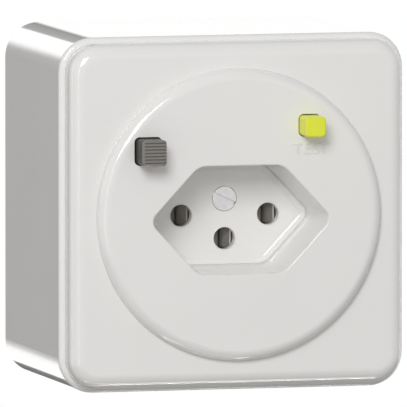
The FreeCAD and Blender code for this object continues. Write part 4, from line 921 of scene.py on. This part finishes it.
class OUTLET_OT_stage(bpy.types.Operator):
    """Build the surroundings, the floor, the key lamp and the camera"""

    bl_idname = "outlet.stage"
    bl_label = "Stage"

    def execute(self, context):
        studio = context.scene.outlet_studio
        self.surroundings(context, studio)
        self.floor(studio)
        soft_lamp("key_lamp", studio.key_toward, studio.key_level)
        self.camera(context, studio)
        context.scene.view_settings.view_transform = "Standard"
        return {"FINISHED"}

    def surroundings(self, context, studio):
        """White for the camera, a dimmer even light on the outlet, and their own levels in its gloss.

        In the gloss the level is AROUND, at the direction's angle about +Z, times UPWARD, at its z: white
        with dark flags, a card between two of them, narrow strips, and a dim roof and ground.
        """
        world = bpy.data.worlds.new("studio_surroundings")
        context.scene.world = world
        world.use_nodes = True
        tree = world.node_tree
        tree.nodes.clear()
        path = add(tree, "ShaderNodeLightPath")
        toward = add(tree, "ShaderNodeTexCoord").outputs["Generated"]
        way = add(tree, "ShaderNodeSeparateXYZ", {0: toward})
        angle = add(tree, "ShaderNodeMath", {0: way.outputs["X"], 1: way.outputs["Y"]}, operation="ARCTAN2")
        place = add(tree, "ShaderNodeMapRange", {
            "Value": angle, "From Min": -math.pi, "From Max": math.pi})
        level = add(tree, "ShaderNodeMapRange", {
            "Value": way.outputs["Z"], "From Min": -1.0, "From Max": 1.0})
        settings = {"flag": studio.flag_level, "card": studio.card_level, "strip": studio.strip_level,
                    "roof": studio.roof_level}
        bands = []
        for where, end, stops in ((place, 180, AROUND), (level, 1, UPWARD)):
            band = add(tree, "ShaderNodeValToRGB", {"Fac": where})
            ramp = band.color_ramp
            ramp.elements.remove(ramp.elements[1])
            for at, bright in stops:
                bright = settings.get(bright, bright)
                stop = ramp.elements.new((at + end) / (2 * end))
                stop.color = (bright, bright, bright, 1)
            ramp.elements.remove(ramp.elements[0])
            bands.append(band.outputs["Color"])
        gloss = add(tree, "ShaderNodeMath", {0: bands[0], 1: bands[1]}, operation="MULTIPLY")
        even = add(tree, "ShaderNodeMapRange", {
            "Value": path.outputs["Is Glossy Ray"], "To Min": studio.ambient_level, "To Max": gloss})
        clear = add(tree, "ShaderNodeMath", {
            0: path.outputs["Is Camera Ray"], 1: path.outputs["Is Transmission Ray"]}, operation="MAXIMUM")
        seen = add(tree, "ShaderNodeMapRange", {"Value": clear, "To Min": even, "To Max": 1.0})
        light = add(tree, "ShaderNodeBackground", {"Color": linear("FFFFFF"), "Strength": seen})
        add(tree, "ShaderNodeOutputWorld", {"Surface": light})

    def floor(self, studio):
        """Lay a round pale floor: rings r = R i / n at angles 2 pi j / m, joined as a grid.

        The camera sees paper with the outlet's shadow that fades to white. Gloss doesn't see the floor,
        and all other light meets it as a mid grey.
        """
        rings, turns = 24, 96
        r = np.linspace(MM, FLOOR_REACH, rings)[:, None]
        a = np.linspace(0, 2 * math.pi, turns, endpoint=False)[None, :]
        z = np.full((rings, turns), CAD_BOX[0][2] - studio.floor_drop)
        points = np.stack([r * np.cos(a), r * np.sin(a), z], axis=-1).reshape(-1, 3)
        mesh = bpy.data.meshes.new("studio_floor")
        mesh.from_pydata(points.tolist(), [], grid_faces(rings, turns, wrap_columns=True).tolist())
        floor = bpy.data.objects.new("studio_floor", mesh)
        bpy.context.scene.collection.objects.link(floor)
        material, tree, point = new_material("pale_studio_paper")
        path = add(tree, "ShaderNodeLightPath")
        flat = add(tree, "ShaderNodeVectorMath", {0: point, 1: (1, 1, 0)}, operation="MULTIPLY")
        far = add(tree, "ShaderNodeVectorMath", {0: flat}, operation="LENGTH")
        fade = add(tree, "ShaderNodeMapRange", {
            "Value": far.outputs["Value"], "From Min": FLOOR_FADE[0], "From Max": FLOOR_FADE[1]},
            interpolation_type="SMOOTHSTEP")
        fibre = add(tree, "ShaderNodeTexNoise", {"Vector": point, "Scale": 1 / (2 * MM), "Detail": 3.0})
        shade = add(tree, "ShaderNodeMix", {0: fibre, 6: linear("F8F8F7"), 7: linear("FCFCFB")},
                    data_type="RGBA")
        paper = add(tree, "ShaderNodeBsdfDiffuse", {"Color": shade})
        white = add(tree, "ShaderNodeEmission", {"Color": linear("FFFFFF"), "Strength": 1.0})
        near = add(tree, "ShaderNodeMixShader", {"Fac": fade, 1: paper, 2: white})
        dim = add(tree, "ShaderNodeBsdfDiffuse", {"Color": linear("C4C2C0")})
        gone = add(tree, "ShaderNodeBsdfTransparent", {"Color": linear("FFFFFF")})
        lit = add(tree, "ShaderNodeMixShader", {"Fac": path.outputs["Is Glossy Ray"], 1: dim, 2: gone})
        seen = add(tree, "ShaderNodeMixShader", {"Fac": path.outputs["Is Camera Ray"], 1: lit, 2: near})
        add(tree, "ShaderNodeOutputMaterial", {"Surface": seen})
        mesh.materials.append(material)

    def camera(self, context, studio):
        """Stand the camera far off at its two angles, with a lens that frames the view's width."""
        data = bpy.data.cameras.new("studio_camera")
        camera = bpy.data.objects.new("studio_camera", data)
        context.scene.collection.objects.link(camera)
        context.scene.camera = camera
        turn, rise = studio.azimuth, studio.elevation
        level = math.cos(rise)
        away = Vector((math.sin(turn) * level, -math.cos(turn) * level, math.sin(rise)))
        target = Vector(studio.target)
        aim(camera, target + away * studio.distance, target)
        data.sensor_width = 36.0
        data.lens = data.sensor_width * studio.distance / studio.view_width
        data.clip_end = 100.0


class OUTLET_PT_panel(bpy.types.Panel):
    """List the outlet's settings and its steps."""

    bl_idname = "OUTLET_PT_panel"
    bl_label = "Outlet"
    bl_space_type = "VIEW_3D"
    bl_region_type = "UI"
    bl_category = "Outlet"

    def draw(self, context):
        column = self.layout.column()
        for where, group in SETTINGS.items():
            for name in group.__annotations__:
                column.prop(getattr(context.scene, where), name)
        for step in STEPS:
            column.operator(step.bl_idname)


SETTINGS = {"outlet_mouldings": MouldingSettings, "outlet_recess": RecessSettings,
            "outlet_leaves": LeafSettings, "outlet_springs": SpringSettings, "outlet_studio": StudioSettings}
STEPS = (OUTLET_OT_mouldings, OUTLET_OT_lips, OUTLET_OT_word, OUTLET_OT_buttons, OUTLET_OT_leaves,
         OUTLET_OT_springs, OUTLET_OT_works, OUTLET_OT_stage)
CLASSES = (*SETTINGS.values(), *STEPS, OUTLET_PT_panel)


def register():
    """Register the classes and hang the settings on the scene."""
    for cls in CLASSES:
        bpy.utils.register_class(cls)
    for where, group in SETTINGS.items():
        setattr(bpy.types.Scene, where, PointerProperty(type=group))


def unregister():
    """Take the settings and the classes away again."""
    for where in SETTINGS:
        delattr(bpy.types.Scene, where)
    for cls in reversed(CLASSES):
        bpy.utils.unregister_class(cls)


def main():
    """Run each step in order."""
    register()
    for step in STEPS:
        group, name = step.bl_idname.split(".")
        getattr(getattr(bpy.ops, group), name)()


if __name__ == "__main__":
    main()
